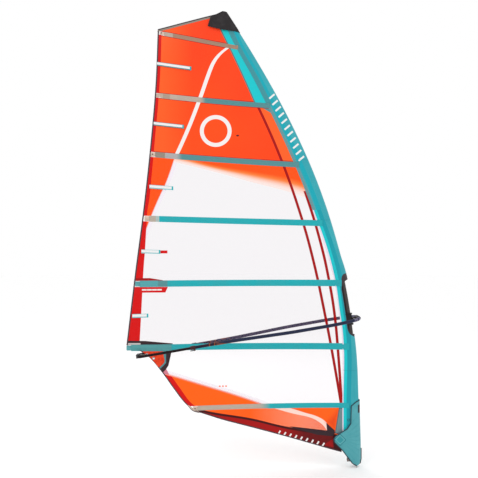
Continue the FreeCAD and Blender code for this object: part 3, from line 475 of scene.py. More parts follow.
class Finish:
    """A material built up in layers on one Principled shader."""

    def __init__(self, name, base, roughness, **settings):
        self.material = bpy.data.materials.new(name)
        self.material.use_nodes = True
        self.tree = self.material.node_tree
        self.shader = self.tree.nodes["Principled BSDF"]
        self.shader.inputs["Base Color"].default_value = base
        self.shader.inputs["Roughness"].default_value = roughness
        self.shader.inputs["Specular IOR Level"].default_value = 0.2
        for key, value in settings.items():
            self.shader.inputs[key.replace("_", " ").title()].default_value = value
        self.colour = base
        self.relief = None

    def map(self, name):
        """The two coordinates of one of the piece's maps."""
        source = self.tree.nodes.new("ShaderNodeUVMap")
        source.uv_map = name
        split = self.tree.nodes.new("ShaderNodeSeparateXYZ")
        self.tree.links.new(source.outputs[0], split.inputs[0])
        return Field(self.tree, split.outputs[0]), Field(self.tree, split.outputs[1])

    def place(self):
        """Three coordinates in the object's own space, which is the row frame at rest."""
        source = self.tree.nodes.new("ShaderNodeTexCoord")
        split = self.tree.nodes.new("ShaderNodeSeparateXYZ")
        self.tree.links.new(source.outputs["Object"], split.inputs[0])
        return [Field(self.tree, output) for output in split.outputs]

    def noise(self, scale, detail=2.0, stretch=(1, 1, 1), map_name=None):
        if map_name:
            source = self.tree.nodes.new("ShaderNodeUVMap")
            source.uv_map = map_name
            vector = source.outputs[0]
        else:
            vector = self.tree.nodes.new("ShaderNodeTexCoord").outputs["Object"]
        mapping = self.tree.nodes.new("ShaderNodeMapping")
        mapping.inputs["Scale"].default_value = stretch
        texture = self.tree.nodes.new("ShaderNodeTexNoise")
        texture.inputs["Scale"].default_value = scale
        texture.inputs["Detail"].default_value = detail
        self.tree.links.new(vector, mapping.inputs["Vector"])
        self.tree.links.new(mapping.outputs[0], texture.inputs["Vector"])
        return Field(self.tree, texture.outputs["Fac"])

    def paint(self, mask, colour):
        """Lays a colour over what is there, as far as the mask says."""
        node = self.tree.nodes.new("ShaderNodeMix")
        node.data_type = "RGBA"
        below, above = node.inputs[6], node.inputs[7]
        if isinstance(self.colour, tuple):
            below.default_value = self.colour
        else:
            self.tree.links.new(self.colour, below)
        above.default_value = colour
        self.tree.links.new(mask.socket, node.inputs[0])
        self.colour = node.outputs[2]
        self.tree.links.new(self.colour, self.shader.inputs["Base Color"])

    def emboss(self, height, depth, strength=0.6):
        """Adds relief: height from 0 to 1 stands for depth in metres."""
        node = self.tree.nodes.new("ShaderNodeBump")
        node.inputs["Strength"].default_value = strength
        node.inputs["Distance"].default_value = depth
        self.tree.links.new(height.socket, node.inputs["Height"])
        if self.relief is not None:
            self.tree.links.new(self.relief, node.inputs["Normal"])
        self.relief = node.outputs[0]
        self.tree.links.new(self.relief, self.shader.inputs["Normal"])

    def weave(self, pitch, depth, map_name="Run"):
        """Relief of woven threads, along and across a map."""
        along, across = self.map(map_name)
        self.emboss(along.wave(pitch) * across.wave(pitch), depth)

    def drive(self, socket_name, field):
        self.tree.links.new(field.socket, self.shader.inputs[socket_name])


def repaint(thing, finish):
    """Gives a piece, or a CAD node by name, one material all over."""
    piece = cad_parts[thing] if isinstance(thing, str) else thing
    piece.data.materials.clear()
    piece.data.materials.append(finish.material)
    for polygon in piece.data.polygons:
        polygon.material_index = 0
    return piece


# ---- colours ----

ORANGE = screen(252, 52, 0)
ORANGE_WARM = screen(252, 78, 6)
ORANGE_LIGHT = screen(252, 94, 0)
RED = screen(206, 0, 0)
DEEP_RED = screen(158, 0, 0)
WINE = screen(62, 0, 4)
PLUM = screen(48, 30, 36)
WHITE = screen(232, 228, 226)
TEAL = screen(46, 152, 164)
BRIGHT_TEAL = screen(14, 160, 174)
CYAN = screen(10, 190, 196)
POCKET_TEAL = screen(16, 166, 174)
GREY_TEAL = screen(82, 136, 140)
BEIGE = screen(186, 168, 152)
FOAM_TEAL = screen(70, 150, 158)
LILAC = screen(226, 212, 228)
TAPE_GREY = screen(70, 58, 64)
FILM = screen(168, 138, 164)


# ---- print on the sail ----

# Printed lines as X against Z.
LEECH_BAND = ((1.20, -2.160), (1.52, -2.144), (1.95, -2.122), (2.15, -2.107), (2.40, -2.092), (2.53, -2.084),
              (2.65, -2.065), (2.80, -2.050), (3.25, -2.010), (3.85, -1.962), (4.36, -1.944))
STRIPE_LONG = ((0.60, -0.142), (1.09, -0.225), (1.49, -0.300), (2.05, -0.420), (2.53, -0.555), (3.09, -0.755),
               (3.62, -0.990))
STRIPE_SHORT = ((0.60, -0.138), (1.09, -0.170), (1.49, -0.206), (1.89, -0.272), (2.21, -0.345),
                (2.72, -0.500))
SWEEP = ((3.02, -1.835), (3.33, -1.695), (3.65, -1.568), (3.88, -1.486), (3.97, -1.452), (4.03, -1.424),
         (4.08, -1.390), (4.12, -1.352), (4.155, -1.308), (4.19, -1.255))
LUFF_PANEL = ((3.60, -0.990), (3.81, -1.082), (4.13, -1.232), (4.32, -1.326), (4.52, -1.420))
SIDE_WEDGE = ((2.30, -2.118), (2.36, -2.094), (2.50, -2.041), (2.716, -1.949), (2.80, -1.909),
              (3.06, -1.817))
# Printed lines as Z against X.
FADE_LOW = ((-1.90, 3.052), (-1.777, 3.026), (-1.405, 2.936), (-1.035, 2.833), (-0.640, 2.725),
            (-0.430, 2.640))
FADE_HIGH = ((-1.90, 3.140), (-1.777, 3.110), (-1.405, 3.010), (-1.035, 2.950), (-0.640, 2.875),
             (-0.430, 2.800))
CORNER_FADE = ((-1.95, 0.930), (-1.864, 0.905), (-1.500, 0.790), (-1.200, 0.697), (-0.900, 0.594))
FOOT_LINE = ((-1.62, 0.584), (-1.505, 0.543), (-1.035, 0.458), (-0.705, 0.380), (-0.305, 0.318))
FOOT_SWEEP_LOW = ((-0.96, 0.600), (-0.806, 0.557), (-0.622, 0.506), (-0.450, 0.468), (-0.358, 0.422),
                  (-0.280, 0.335))
FOOT_SWEEP_HIGH = ((-0.80, 0.590), (-0.662, 0.563), (-0.507, 0.517), (-0.381, 0.480), (-0.289, 0.420),
                   (-0.276, 0.390))

STRIPE_HALF = 0.0135
# How solid the clear film is.
CLEAR_ALPHA = 0.12
BADGE = (-1.400, 3.350)
BADGE_RADIUS = 0.140
TELLTALE = (-1.179, 3.303)
LONG_STRIPE_TOP = 3.60
SHORT_STRIPE_TOP = 2.74
LUFF_PANEL_FOOT = 3.62


def film(name, base, roughness=0.32):
    """Laminated film: faint scrim threads and a soft unevenness over the base colour."""
    finish = Finish(name, base, roughness)
    x, z = finish.map("Flat")
    finish.emboss(finish.noise(2.6, 3.0, map_name="Flat"), 6 * MM, 0.25)
    threads = (x + z).wave(0.0062).either((x - z).wave(0.0062)).over(0.985, 0.03)
    return finish, x, z, threads


def patch(finish, x, z, colour, corners):
    """Prints a convex straight-sided patch, and gives its mask."""
    mask = inside(x, z, corners).over(0)
    finish.paint(mask, colour)
    return mask


def paint_stripes(finish, x, z):
    long_stripe = x.near(z.curve(STRIPE_LONG), STRIPE_HALF) * z.under(LONG_STRIPE_TOP)
    short_stripe = x.near(z.curve(STRIPE_SHORT), STRIPE_HALF) * z.under(SHORT_STRIPE_TOP)
    mask = long_stripe.either(short_stripe)
    finish.paint(mask, DEEP_RED)
    return mask


def paint_leech(finish, x, z):
    mask = x.under(z.curve(LEECH_BAND))
    finish.paint(mask, RED)
    return mask


def halftone(x, z, pitch=0.020):
    """Printed dots that a fade is broken into, from -1 to 1."""
    return (x + z).wave(pitch) * (x - z).wave(pitch)


def top_print():
    """Orange upper panels with the white sweep, a plain ring and the luff strip."""
    finish, x, z, threads = film("top_print", ORANGE, 0.38)
    warm = finish.noise(1.1, 1.0, map_name="Flat").over(0.5, 0.5)
    finish.paint(warm * 0.75, ORANGE_WARM)
    finish.paint(x.under(-1.78, 0.30) * 0.6, screen(255, 100, 34))
    finish.paint(threads * 0.25, screen(255, 120, 60))
    ahead_of_stripe = x.over(z.curve(STRIPE_LONG)) * z.under(LONG_STRIPE_TOP)
    finish.paint(ahead_of_stripe * 0.8, screen(252, 98, 34))
    patch(finish, x, z, GREY_TEAL, [(-0.968, 3.585), (-0.846, 3.521), (-0.780, 3.480), (-0.780, 3.620)])
    for number in range(3):
        (luff_x, luff_z), (end_x, end_z) = batten_ends(BATTENS[number])
        slope = (end_z - luff_z) / (end_x - luff_x)
        off_batten = z - x * slope - (luff_z - luff_x * slope)
        finish.paint(off_batten.near(0, BATTENS[number][3] / 2 + 7 * MM, 4 * MM) * 0.75, screen(150, 18, 4))
    finish.paint(x.near(z.curve(SWEEP), 0.020) * z.over(3.02), WHITE)
    finish.paint(from_spot(x, z, BADGE).near(BADGE_RADIUS, 0.020), WHITE)
    paint_leech(finish, x, z)
    strip = x.over(z.curve(LUFF_PANEL)) * z.over(LUFF_PANEL_FOOT)
    finish.paint(strip, CYAN)
    seam = x.near(z.curve(LUFF_PANEL) - 5 * MM, 7 * MM) * z.over(LUFF_PANEL_FOOT)
    finish.paint(seam, screen(92, 116, 114))
    telltale = from_spot(x, z * 1.8, (TELLTALE[0], TELLTALE[1] * 1.8))
    finish.paint(telltale.under(0.016), screen(84, 26, 26))
    paint_stripes(finish, x, z)
    return finish


def window_print(name="window_print"):
    """Clear windows: see-through film with the printed fade, the leech band and the stripes."""
    finish, x, z, threads = film(name, FILM, 0.16)
    solid = threads * 0.15
    tint = x.near(z.curve(SIDE_WEDGE) + 0.022, 0.016) * z.over(2.20)
    finish.paint(tint, LILAC)
    solid = solid.either(tint * 0.5)
    low = x.curve(FADE_LOW)
    rise = (z - low).math("DIVIDE", x.curve(FADE_HIGH) - low) + halftone(x, z) * 0.09
    pale = z.over(low) * x.over(-1.86)
    finish.paint(pale, screen(240, 206, 196))
    finish.paint(rise.math("MULTIPLY_ADD", 2.2, -0.45, clamp=True) * pale, screen(250, 140, 66))
    finish.paint(rise.math("MULTIPLY_ADD", 2.2, -1.10, clamp=True) * pale, ORANGE_WARM)
    wedge = x.under(z.curve(SIDE_WEDGE), 0.012) * z.over(2.26)
    orange = wedge.either(x.under(-1.86) * z.over(3.0))
    finish.paint(orange, ORANGE_WARM)
    fade_solid = rise.math("MULTIPLY_ADD", 1.0, 0.45, clamp=True) * pale
    solid = solid.either(orange).either(fade_solid).either(paint_leech(finish, x, z))
    tag = patch(finish, x, z, screen(205, 10, 10),
                [(-2.215, 1.778), (-1.880, 1.778), (-1.905, 1.722), (-2.215, 1.722)])
    for start in (-2.13, -2.08, -2.03, -1.98):
        bar = stroke(x, z, (start, 1.750), (start + 0.032, 1.750)).under(7 * MM)
        finish.paint(bar, WHITE)
    above = patch(finish, x, z, DEEP_RED, [(-2.21, 1.838), (-2.21, 1.868), (-2.06, 1.868), (-1.93, 1.846),
                                           (-1.93, 1.838)])
    wedge_low = patch(finish, x, z, PLUM, [(-2.30, 1.192), (-2.30, 1.243), (-2.10, 1.240), (-1.83, 1.214),
                                           (-1.83, 1.192)])
    # A pale label on the dark wedge, which is solid already.
    patch(finish, x, z, screen(190, 182, 180),
          [(-2.275, 1.203), (-2.275, 1.219), (-2.150, 1.219), (-2.150, 1.203)])
    chip = patch(finish, x, z, RED, [(-1.955, 2.115), (-1.955, 2.145), (-1.885, 2.145), (-1.885, 2.115)])
    for mask in (tag, above, wedge_low, chip, paint_stripes(finish, x, z)):
        solid = solid.either(mask)
    finish.drive("Alpha", solid.math("MULTIPLY_ADD", 1 - CLEAR_ALPHA, CLEAR_ALPHA, clamp=True))
    return finish


def corner_print():
    """Lowest window with the clew's dark band and the orange corner along the clew edge."""
    finish, x, z, threads = film("corner_print", FILM, 0.16)
    solid = threads * 0.15
    line = x.curve(CORNER_FADE)
    tint = z.near(line + 0.020, 0.014, 8 * MM) * x.under(-0.90, 0.20) * 0.6
    finish.paint(tint, LILAC)
    orange = z.under(line + halftone(x, z) * 0.008, 0.028) * x.under(-0.90, 0.12)
    finish.paint(orange, ORANGE_LIGHT)
    edge = x.under(z.curve(tuple((height, value + 0.064) for height, value in CLEW_EDGE)))
    edge_red = edge * z.under(x.curve(((-2.00, 0.935), (-1.93, 0.912), (-1.84, 0.884), (-1.60, 0.860))))
    finish.paint(edge_red, RED)
    sliver = patch(finish, x, z, screen(206, 122, 138),
                   [(-1.97, 0.925), (-1.899, 0.970), (-1.862, 0.902), (-1.93, 0.909)])
    band = patch(finish, x, z, PLUM, [(-2.20, 1.16), (-1.836, 1.16), (-1.846, 1.105), (-1.871, 0.993),
                                      (-1.899, 0.951), (-1.934, 0.916), (-2.20, 0.90)])
    patch(finish, x, z, GREY_TEAL, [(-2.20, 1.16), (-1.895, 1.16), (-1.895, 1.020), (-1.962, 0.951),
                                    (-2.20, 0.951)])
    for mark in (-1.362, -1.330, -1.298):
        dot = stroke(x, z, (mark, 0.780), (mark + 6 * MM, 0.780)).under(6 * MM)
        finish.paint(dot, ORANGE_LIGHT)
        solid = solid.either(dot)
    for mask in (orange, edge_red, sliver, band, tint * 0.5, paint_stripes(finish, x, z)):
        solid = solid.either(mask)
    finish.drive("Alpha", solid.math("MULTIPLY_ADD", 1 - CLEAR_ALPHA, CLEAR_ALPHA, clamp=True))
    return finish


def foot_print():
    """Foot panel: orange with a white sweep, a red band along the edge and the dark tack arrow."""
    finish, x, z, threads = film("foot_print", ORANGE_LIGHT, 0.36)
    finish.paint(finish.noise(1.4, 1.0, map_name="Flat").over(0.5, 0.4) * 0.35, ORANGE_WARM)
    finish.paint(threads * 0.25, screen(255, 130, 70))
    sweep = x.curve(FOOT_SWEEP_LOW)
    dots = halftone(x, z, 0.015)
    under_sweep = z.under(sweep) * x.over(-0.80, 0.50)
    finish.paint(under_sweep * dots.over(0.30, 0.2), screen(252, 200, 176))
    finish.paint(under_sweep * x.over(-0.50, 0.20) * dots.under(-0.30, 0.2), screen(206, 30, 6))
    band = z.over(sweep) * z.under(x.curve(FOOT_SWEEP_HIGH)) * x.under(-0.279)
    finish.paint(band, screen(246, 212, 200))
    shade = inside(x, z, [(-0.285, 0.425), (-0.163, 0.563), (-0.203, 0.330)])
    finish.paint(shade.over(0, 0.06) * 0.6, screen(214, 48, 8))
    line = x.curve(FOOT_LINE)
    finish.paint(z.under(line), DEEP_RED)
    finish.paint(z.under(line) * x.over(-0.62, 0.25), screen(98, 0, 2))
    finish.paint(z.under(line) * z.over(line - 0.022), WINE)
    # The tack arrow's shaft and its barb.
    patch(finish, x, z, PLUM, [(-0.66, 0.376), (-0.640, 0.378), (-0.290, 0.342), (-0.203, 0.330),
                               (-0.215, 0.284), (-0.385, 0.298)])
    patch(finish, x, z, PLUM, [(-0.290, 0.418), (-0.205, 0.342), (-0.215, 0.284), (-0.280, 0.300)])
    patch(finish, x, z, screen(150, 0, 2),
          [(-0.300, 0.210), (-0.228, 0.258), (-0.218, 0.176), (-0.300, 0.192)])
    patch(finish, x, z, WINE, [(-0.222, 0.30), (-0.10, 0.30), (-0.10, 0.10), (-0.216, 0.10)])
    corner = inside(x, z, [(-0.163, 0.570), (-0.100, 0.570), (-0.090, 0.300), (-0.203, 0.316)])
    finish.paint(corner.over(0), screen(108, 132, 136))
    finish.paint(corner.near(2 * MM, 4 * MM), screen(66, 100, 104))
    for i in range(9):
        foot_x = -0.770 + 0.055 * i
        foot_z = 0.306 - 0.0147 * i
        bar = stroke(x, z, (foot_x - 0.010, foot_z - 0.016), (foot_x + 0.016, foot_z + 0.024)).under(7.5 * MM)
        finish.paint(bar, WHITE)
    return finish


# ---- sail body ----


def follow_clew(piece):
    """Bakes the placement of a piece at or below batten 6 into its mesh."""
    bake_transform(piece)


def follow_above_clew(piece):
    """Bakes the placement of a piece between battens 6 and 5 into its mesh."""
    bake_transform(piece)


def soft(piece, slot_name, finish, *nodes):
    """A soft piece's material and the CAD nodes that it stands for; slot_name is not used."""
    repaint(piece, finish)
    if nodes:
        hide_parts(*nodes)
    return piece


# How far a panel is tucked under the pockets, and how far it runs on past the seam.
TUCK = 3 * MM
SEAM_LAP = 4 * MM


def panel_between(above, below, edge, top_line=None):
    """Place function of a panel between two battens' pockets, tucked a little into each."""
    low = batten_line(below, below[3] / 2 + SEAM_GAP - TUCK, edge)
    high = top_line or batten_line(above, -above[3] / 2 - SEAM_GAP + TUCK, edge)

    def place(along, up):
        luff_z = low[0][1] + (high[0][1] - low[0][1]) * up
        leech_z = low[1][1] + (high[1][1] - low[1][1]) * up
        luff_x = seam_x(luff_z) + SEAM_LAP
        end_x = edge(leech_z)
        return luff_x + (end_x - luff_x) * along, luff_z + (leech_z - luff_z) * along

    return place


def foot_place(along, up):
    lowest = BATTENS[-1]
    top_luff, top_leech = batten_line(lowest, -lowest[3] / 2 - SEAM_GAP + TUCK, clew_edge_x)
    foot_leech, foot_luff = FOOT_EDGE[0], FOOT_EDGE[-1]
    foot_x = foot_luff[0] + (foot_leech[0] - foot_luff[0]) * along
    top_x = top_luff[0] + SEAM_LAP + (top_leech[0] - top_luff[0] - SEAM_LAP) * along
    top_z = top_luff[1] + (top_leech[1] - top_luff[1]) * along
    foot_z = min(smooth(FOOT_EDGE, foot_x), top_z - MM)
    return foot_x + (top_x - foot_x) * up, foot_z + (top_z - foot_z) * up


HEAD_LINE = ((seam_x(HEAD_LUFF_Z), HEAD_LUFF_Z), (leech_x(HEAD_LEECH_Z), HEAD_LEECH_Z))


def sail_body():
    top, window = top_print(), window_print()
    names = ("shoulder_panel", "upper_panel", "window_upper", "window_middle", "window_lower")
    head = cloth("head_film", panel_between(None, BATTENS[0], leech_x, HEAD_LINE), 50, 16, 3 * MM)
    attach(soft(head, "orange_film", top, "head_panel"), "rig")
    for index, name in enumerate(names):
        place = panel_between(BATTENS[index], BATTENS[index + 1], leech_x)
        piece = cloth(name + "_film", place, 90, 30, 7 * MM)
        slot_name = "orange_film" if index < 2 else "window_film"
        soft(piece, slot_name, top if index < 2 else window, name)
        if name == "window_lower":
            follow_above_clew(piece)
        else:
            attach(piece, "rig")
    lower = cloth("lower_panel_film", panel_between(BATTENS[5], BATTENS[6], clew_edge_x), 90, 30, 7 * MM)
    for eyelet in EYELETS:
        punch(lower, eyelet, EYELET_HOLE)
    soft(lower, "window_film", corner_print(), "lower_panel")
    follow_clew(lower)
    foot = cloth("foot_panel_film", foot_place, 80, 20, 4 * MM)
    soft(foot, "orange_film", foot_print(), "foot_panel")
    follow_clew(foot)


# ---- tapes along the edges ----

def stitch(finish, along, across, lines, pitch=5 * MM, colour=None):
    """Rows of stitches at the given distances across a piece."""
    for line in lines:
        dashes = along.wave(pitch).over(-0.2, 0.5) * across.near(line, 0.6 * MM)
        finish.paint(dashes, colour or screen(120, 120, 126))
        finish.emboss(dashes, 0.4 * MM)


def edge_tape(name, edge_points, inward, width, half=1.5 * MM):
    """Tape folded over a cloth edge: edge_points are (x, z), inward points from the edge into the cloth."""
    rows = []
    for x, z in edge_points:
        ix, iz = inward(x, z)
        outer = on_sail(x, z)
        inner_x, inner_z = x + ix * width, z + iz * width
        inner = on_sail(inner_x, inner_z)
        step = Vector((ix, 0, iz))
        port, starboard = Vector((0, half, 0)), Vector((0, -half, 0))
        rows.append([inner + port * 0.5, (inner + outer) / 2 + port, outer + port,
                     outer + port * 0.6 - step * half, outer + starboard * 0.6 - step * half,
                     outer + starboard, (inner + outer) / 2 + starboard, inner + starboard * 0.5])
    return loft(name, rows, caps=True, sharp=60)


def edge_points(side, low, high, count):
    return [(side(z), z) for z in spread(low, high, count)]


def square_to(side, sign=1):
    """Inward direction, square to an edge given as X against Z."""
    def inward(_, z):
        slope = (side(z + MM) - side(z - MM)) / (2 * MM)
        length = math.hypot(1, slope)
        return sign / length, -sign * slope / length
    return inward


def foot_inward(x, _):
    slope = (smooth(FOOT_EDGE, x + MM) - smooth(FOOT_EDGE, x - MM)) / (2 * MM)
    length = math.hypot(1, slope)
    return -slope / length, 1 / length


# Rounded corner of the cloth at the foot pocket's leech end, and the point it closes round.
FOOT_CORNER = ((-1.688, 0.604), (-1.660, 0.572), (-1.644, 0.553), (-1.622, 0.538), (-1.596, 0.529),
               (-1.560, 0.521))
CORNER_MIDDLE = (-1.598, 0.572)
CORNER_REACH = 30 * MM
LEECH_TAPE = 12 * MM
HEAD_TAPE = 28 * MM
HEAD_BINDING = 16 * MM


def rounded(corners):
    """Smooth run of (x, z) points through a few corners."""
    line = line_through([Vector((x, 0, z)) for x, z in corners])
    return [(point.x, point.z) for point in line]


def towards_corner(x, z):
    step_x, step_z = CORNER_MIDDLE[0] - x, CORNER_MIDDLE[1] - z
    length = math.hypot(step_x, step_z)
    return step_x / length, step_z / length


def edge_tapes():
    tape = Finish("edge_tape", TAPE_GREY, 0.75)
    tape.weave(1.6 * MM, 0.15 * MM)
    along, across = tape.map("Run")
    stitch(tape, along, across, (3 * MM, 9 * MM))
    rigid_low = batten_line(BATTENS[4], 0, leech_x)[1][1]
    pulled_low = BATTENS[5][2] + BATTENS[5][3] / 2 - 4 * MM
    leech = edge_tape("leech_tape", edge_points(leech_x, rigid_low, HEAD_LEECH_Z, 120),
                      square_to(leech_x), LEECH_TAPE)
    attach(soft(leech, "webbing", tape), "rig")
    low_leech = edge_tape("leech_tape_low", edge_points(leech_x, pulled_low, rigid_low, 40),
                          square_to(leech_x), LEECH_TAPE)
    follow_above_clew(soft(low_leech, "webbing", tape))
    clew_tape = edge_tape("clew_edge_tape", edge_points(clew_edge_x, 0.598, 1.146, 50),
                          square_to(clew_edge_x), 9 * MM)
    follow_clew(soft(clew_tape, "webbing", tape))
    xs = spread(FOOT_EDGE[0][0], FOOT_EDGE[-1][0], 80)
    foot = edge_tape("foot_tape", [(x, smooth(FOOT_EDGE, x)) for x in xs], foot_inward, 9 * MM)
    follow_clew(soft(foot, "webbing", tape))
    corner_look = Finish("corner_patch", BEIGE, 0.75)
    across = corner_look.map("Run")[1]
    corner_look.paint(across.near(CORNER_REACH, 11 * MM), TAPE_GREY)
    corner = edge_tape("corner_patch", rounded(FOOT_CORNER), towards_corner, CORNER_REACH)
    follow_clew(soft(corner, "webbing", corner_look))
    start, end = HEAD_LINE
    length = math.hypot(end[0] - start[0], end[1] - start[1])
    direction = ((end[0] - start[0]) / length, (end[1] - start[1]) / length)
    head_points = zip(spread(start[0], end[0], 30), spread(start[1], end[1], 30))
    head = edge_tape("head_tape", head_points, lambda x, z: (direction[1], direction[0]), HEAD_TAPE)
    binding = Finish("head_binding", screen(140, 130, 120), 0.75)
    across = binding.map("Run")[1]
    binding.paint(across.near(HEAD_TAPE, HEAD_BINDING), screen(56, 50, 56))
    binding.weave(1.6 * MM, 0.15 * MM)
    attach(soft(head, "webbing", binding), "rig")


# ---- batten pockets, tensioners and tips ----

def batten_point(batten, t):
    luff, leech = batten_ends(batten)
    x = luff[0] + (leech[0] - luff[0]) * t
    z = luff[1] + (leech[1] - luff[1]) * t
    return on_sail(x, z)


def pocket_finish(name, base, zones=()):
    """Woven pocket tape; zones are (x of the forward limit, softness, colour), laid from the luff aft."""
    finish = Finish(name, base, 0.72, sheen_weight=0.15)
    x = finish.map("Flat")[0]
    for limit, softness, colour in zones:
        finish.paint(x.under(limit, softness), colour)
    finish.paint(finish.noise(9.0, 3.0, map_name="Flat").over(0.5, 0.6) * 0.25, GREY_TEAL)
    finish.weave(1.4 * MM, 0.12 * MM)
    return finish


POCKET_SIDES = 9


def pocket_shell(name, points, half_width, half_depth):
    """Lens-shaped sewn pocket: flat seam allowances and a round middle over the batten."""
    rows = []
    allowance = min(7 * MM, half_width * 0.3)
    for point in points:
        upper, lower = [], []
        for j in range(POCKET_SIDES):
            share = -1 + 2 * j / (POCKET_SIDES - 1)
            off = half_width * share
            rise = max(0.0, 1 - abs(off) / (half_width - allowance))
            bulge = 1.3 * MM + (half_depth - 1.3 * MM) * math.sin(rise * math.pi / 2) ** 2
            high, low = point.y + bulge, point.y - bulge
            if point.x > seam_x(point.z + off):
                high = max(high, over_sleeve(point.x, point.z + off, 1).y)
                low = min(low, over_sleeve(point.x, point.z + off, -1).y)
            upper.append(Vector((point.x, high, point.z + off)))
            lower.append(Vector((point.x, low, point.z + off)))
        rows.append(upper + lower[::-1])
    return loft(name, rows, caps=True, sharp=60)


def tensioner_reach(batten):
    """Half height of a tensioner block, which stays inside its slanting pocket's lines."""
    luff, leech = batten_ends(batten)
    slant = abs((leech[1] - luff[1]) / (luff[0] - leech[0])) * TENSIONER_LENGTH / 2
    return min(0.4 * batten[3], batten[3] / 2 - 1.5 * MM - slant)


def tensioner(index, batten, body_finish, screw_finish):
    """Moulded end block with a recessed adjusting screw, at a pocket's leech end."""
    length = batten_ends(batten)[0][0] - batten[1]
    end = 1 - (TENSIONER_LENGTH + MM) / length
    front = batten_point(batten, end).x - 0.5 * MM
    back = front - TENSIONER_LENGTH
    middle = batten_point(batten, (end + 1) / 2)
    half_height, half_depth = tensioner_reach(batten), 7 * MM
    # (distance from the back, share of the full section), from the front of the block.
    profile = ((45, 0.80), (44, 0.93), (41.5, 1.0), (30, 1.0), (29, 0.94), (27, 0.94), (26, 1.0), (3.5, 1.0),
               (1, 0.93), (0, 0.78))

    def section(reach, wide, high, corners):
        """Outline at a distance from the back; corners of 0.5 make it a rounded square, 1 a circle."""
        return [Vector((back + reach * MM,
                        middle.y + wide * math.copysign(abs(sin) ** corners, sin),
                        middle.z + high * math.copysign(abs(cos) ** corners, cos)))
                for cos, sin in circle(32)]

    rows = [section(reach, half_depth * share, half_height * share, 0.5) for reach, share in profile]
    # The screw's recess, from its mouth in.
    for reach, radius in ((0, 3.4), (0.6, 2.7), (9, 2.7)):
        rows.append(section(reach, radius * MM, radius * MM, 1))
    block = loft(f"batten_tensioner_{index}", rows, caps=True, sharp=35)
    soft(block, "beige_plastic", body_finish, "batten_tensioners")
    screw_rows = []
    for reach, radius, sides in ((14, 2.3, 0), (2.4, 2.3, 0), (2.0, 2.0, 0), (2.0, 1.3, 6), (5, 1.3, 6)):
        row = []
        for j in range(24):
            angle = TURN * j / 24
            size = radius * MM
            if sides:
                size /= math.cos((angle + math.pi / sides) % (TURN / sides) - math.pi / sides)
            row.append(Vector((back + reach * MM, middle.y + size * math.sin(angle),
                               middle.z + size * math.cos(angle))))
        screw_rows.append(row)
    screw = loft(f"tensioner_screw_{index}", screw_rows, caps=True, sharp=30)
    soft(screw, "steel", screw_finish, "tensioner_screws")
    return block, screw


# How far each pocket's sewn end runs forward over the sleeve, past the seam.
LUFF_TABS = (0.012, 0.022, 0.038, 0.045, 0.054, 0.055, 0.058)


def battens(beige, steel):
    # Its lighter spots from moulded() are painted highlights on the blocks of pockets 5 and 6.
    grey_teal = moulded("grey_teal_moulding", screen(82, 146, 150), 0.45)
    x, z = beige.map("Flat")
    for number in (1, 3, 7):
        _, end_x, end_z, _ = BATTENS[number - 1]
        beige.paint(from_spot(x, z, (end_x + 0.020, end_z)).under(6.5 * MM), screen(52, 46, 50))
    laminate = Finish("batten_laminate", screen(214, 206, 176), 0.4)
    laminate.paint(laminate.noise(300, 2.0, (0.05, 1, 1)).over(0.5, 0.4) * 0.4, screen(180, 170, 140))
    sharp, faded = 4 * MM, 50 * MM
    # Each pocket's base colour and zones, from the head down.
    looks = (
        ("pocket_1", screen(164, 126, 102), ((-1.83, sharp, BEIGE),)),
        ("pocket_2", GREY_TEAL, ((-1.525, faded, BEIGE), (-1.86, sharp, screen(172, 148, 130)),
                                 (-1.93, sharp, BEIGE))),
        ("pocket_3", GREY_TEAL, ((-1.764, faded, screen(172, 168, 168)), (-1.903, sharp, BEIGE),
                                 (-1.909, sharp, screen(148, 132, 118)), (-2.006, sharp, BEIGE))),
        ("pocket_4", POCKET_TEAL, ((-1.966, sharp, screen(172, 186, 182)), (-2.00, sharp, BEIGE))),
        ("pocket_5", POCKET_TEAL, ((-1.885, sharp, GREY_TEAL), (-1.98, sharp, screen(80, 158, 164)))),
        ("pocket_6", POCKET_TEAL, ((-1.84, sharp, screen(80, 150, 152)),)),
        ("pocket_7", POCKET_TEAL, ((-0.90, 2 * faded, BEIGE),)),
    )
    for index, (batten, (name, base, zones)) in enumerate(zip(BATTENS, looks)):
        number = index + 1
        length = batten_ends(batten)[0][0] - batten[1]
        half_width = batten[3] / 2
        start = -LUFF_TABS[index] / length
        end = 1 - (TENSIONER_LENGTH + MM) / length
        points = [batten_point(batten, t) for t in spread(start, end, 110)]
        shell = pocket_shell(f"batten_pocket_{number}", points, half_width, 7.6 * MM)
        finish = pocket_finish(name, base, zones)
        along, across = finish.map("Run")
        x, z = finish.map("Flat")
        stitch(finish, along, across, (4 * MM, batten[3] - 4 * MM), colour=screen(70, 140, 146))
        soft(shell, "pocket_cloth", finish, "batten_pockets")
        if number in (4, 6):
            finish.paint(across.near(batten[3] / 2, 6 * MM) * x.under(-0.65, faded), GREY_TEAL)
        block, screw = tensioner(number, batten, grey_teal if number in (5, 6) else beige, steel)
        if number >= 6:
            for piece in (shell, block, screw):
                follow_clew(piece)
        else:
            for piece in (shell, block, screw):
                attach(piece, "rig")
    rod_points = [batten_point(BATTENS[5], t) for t in spread(0, 0.975, 60)]
    rod = tube("batten_rod_6", rod_points, 5.2 * MM, 12)
    soft(rod, "batten_laminate", laminate, "batten_6")
    follow_clew(rod)
    for number in (1, 2, 3, 4, 5, 7):
        repaint(f"batten_{number}", laminate)
    repaint("mini_battens", laminate)
    small_pockets()


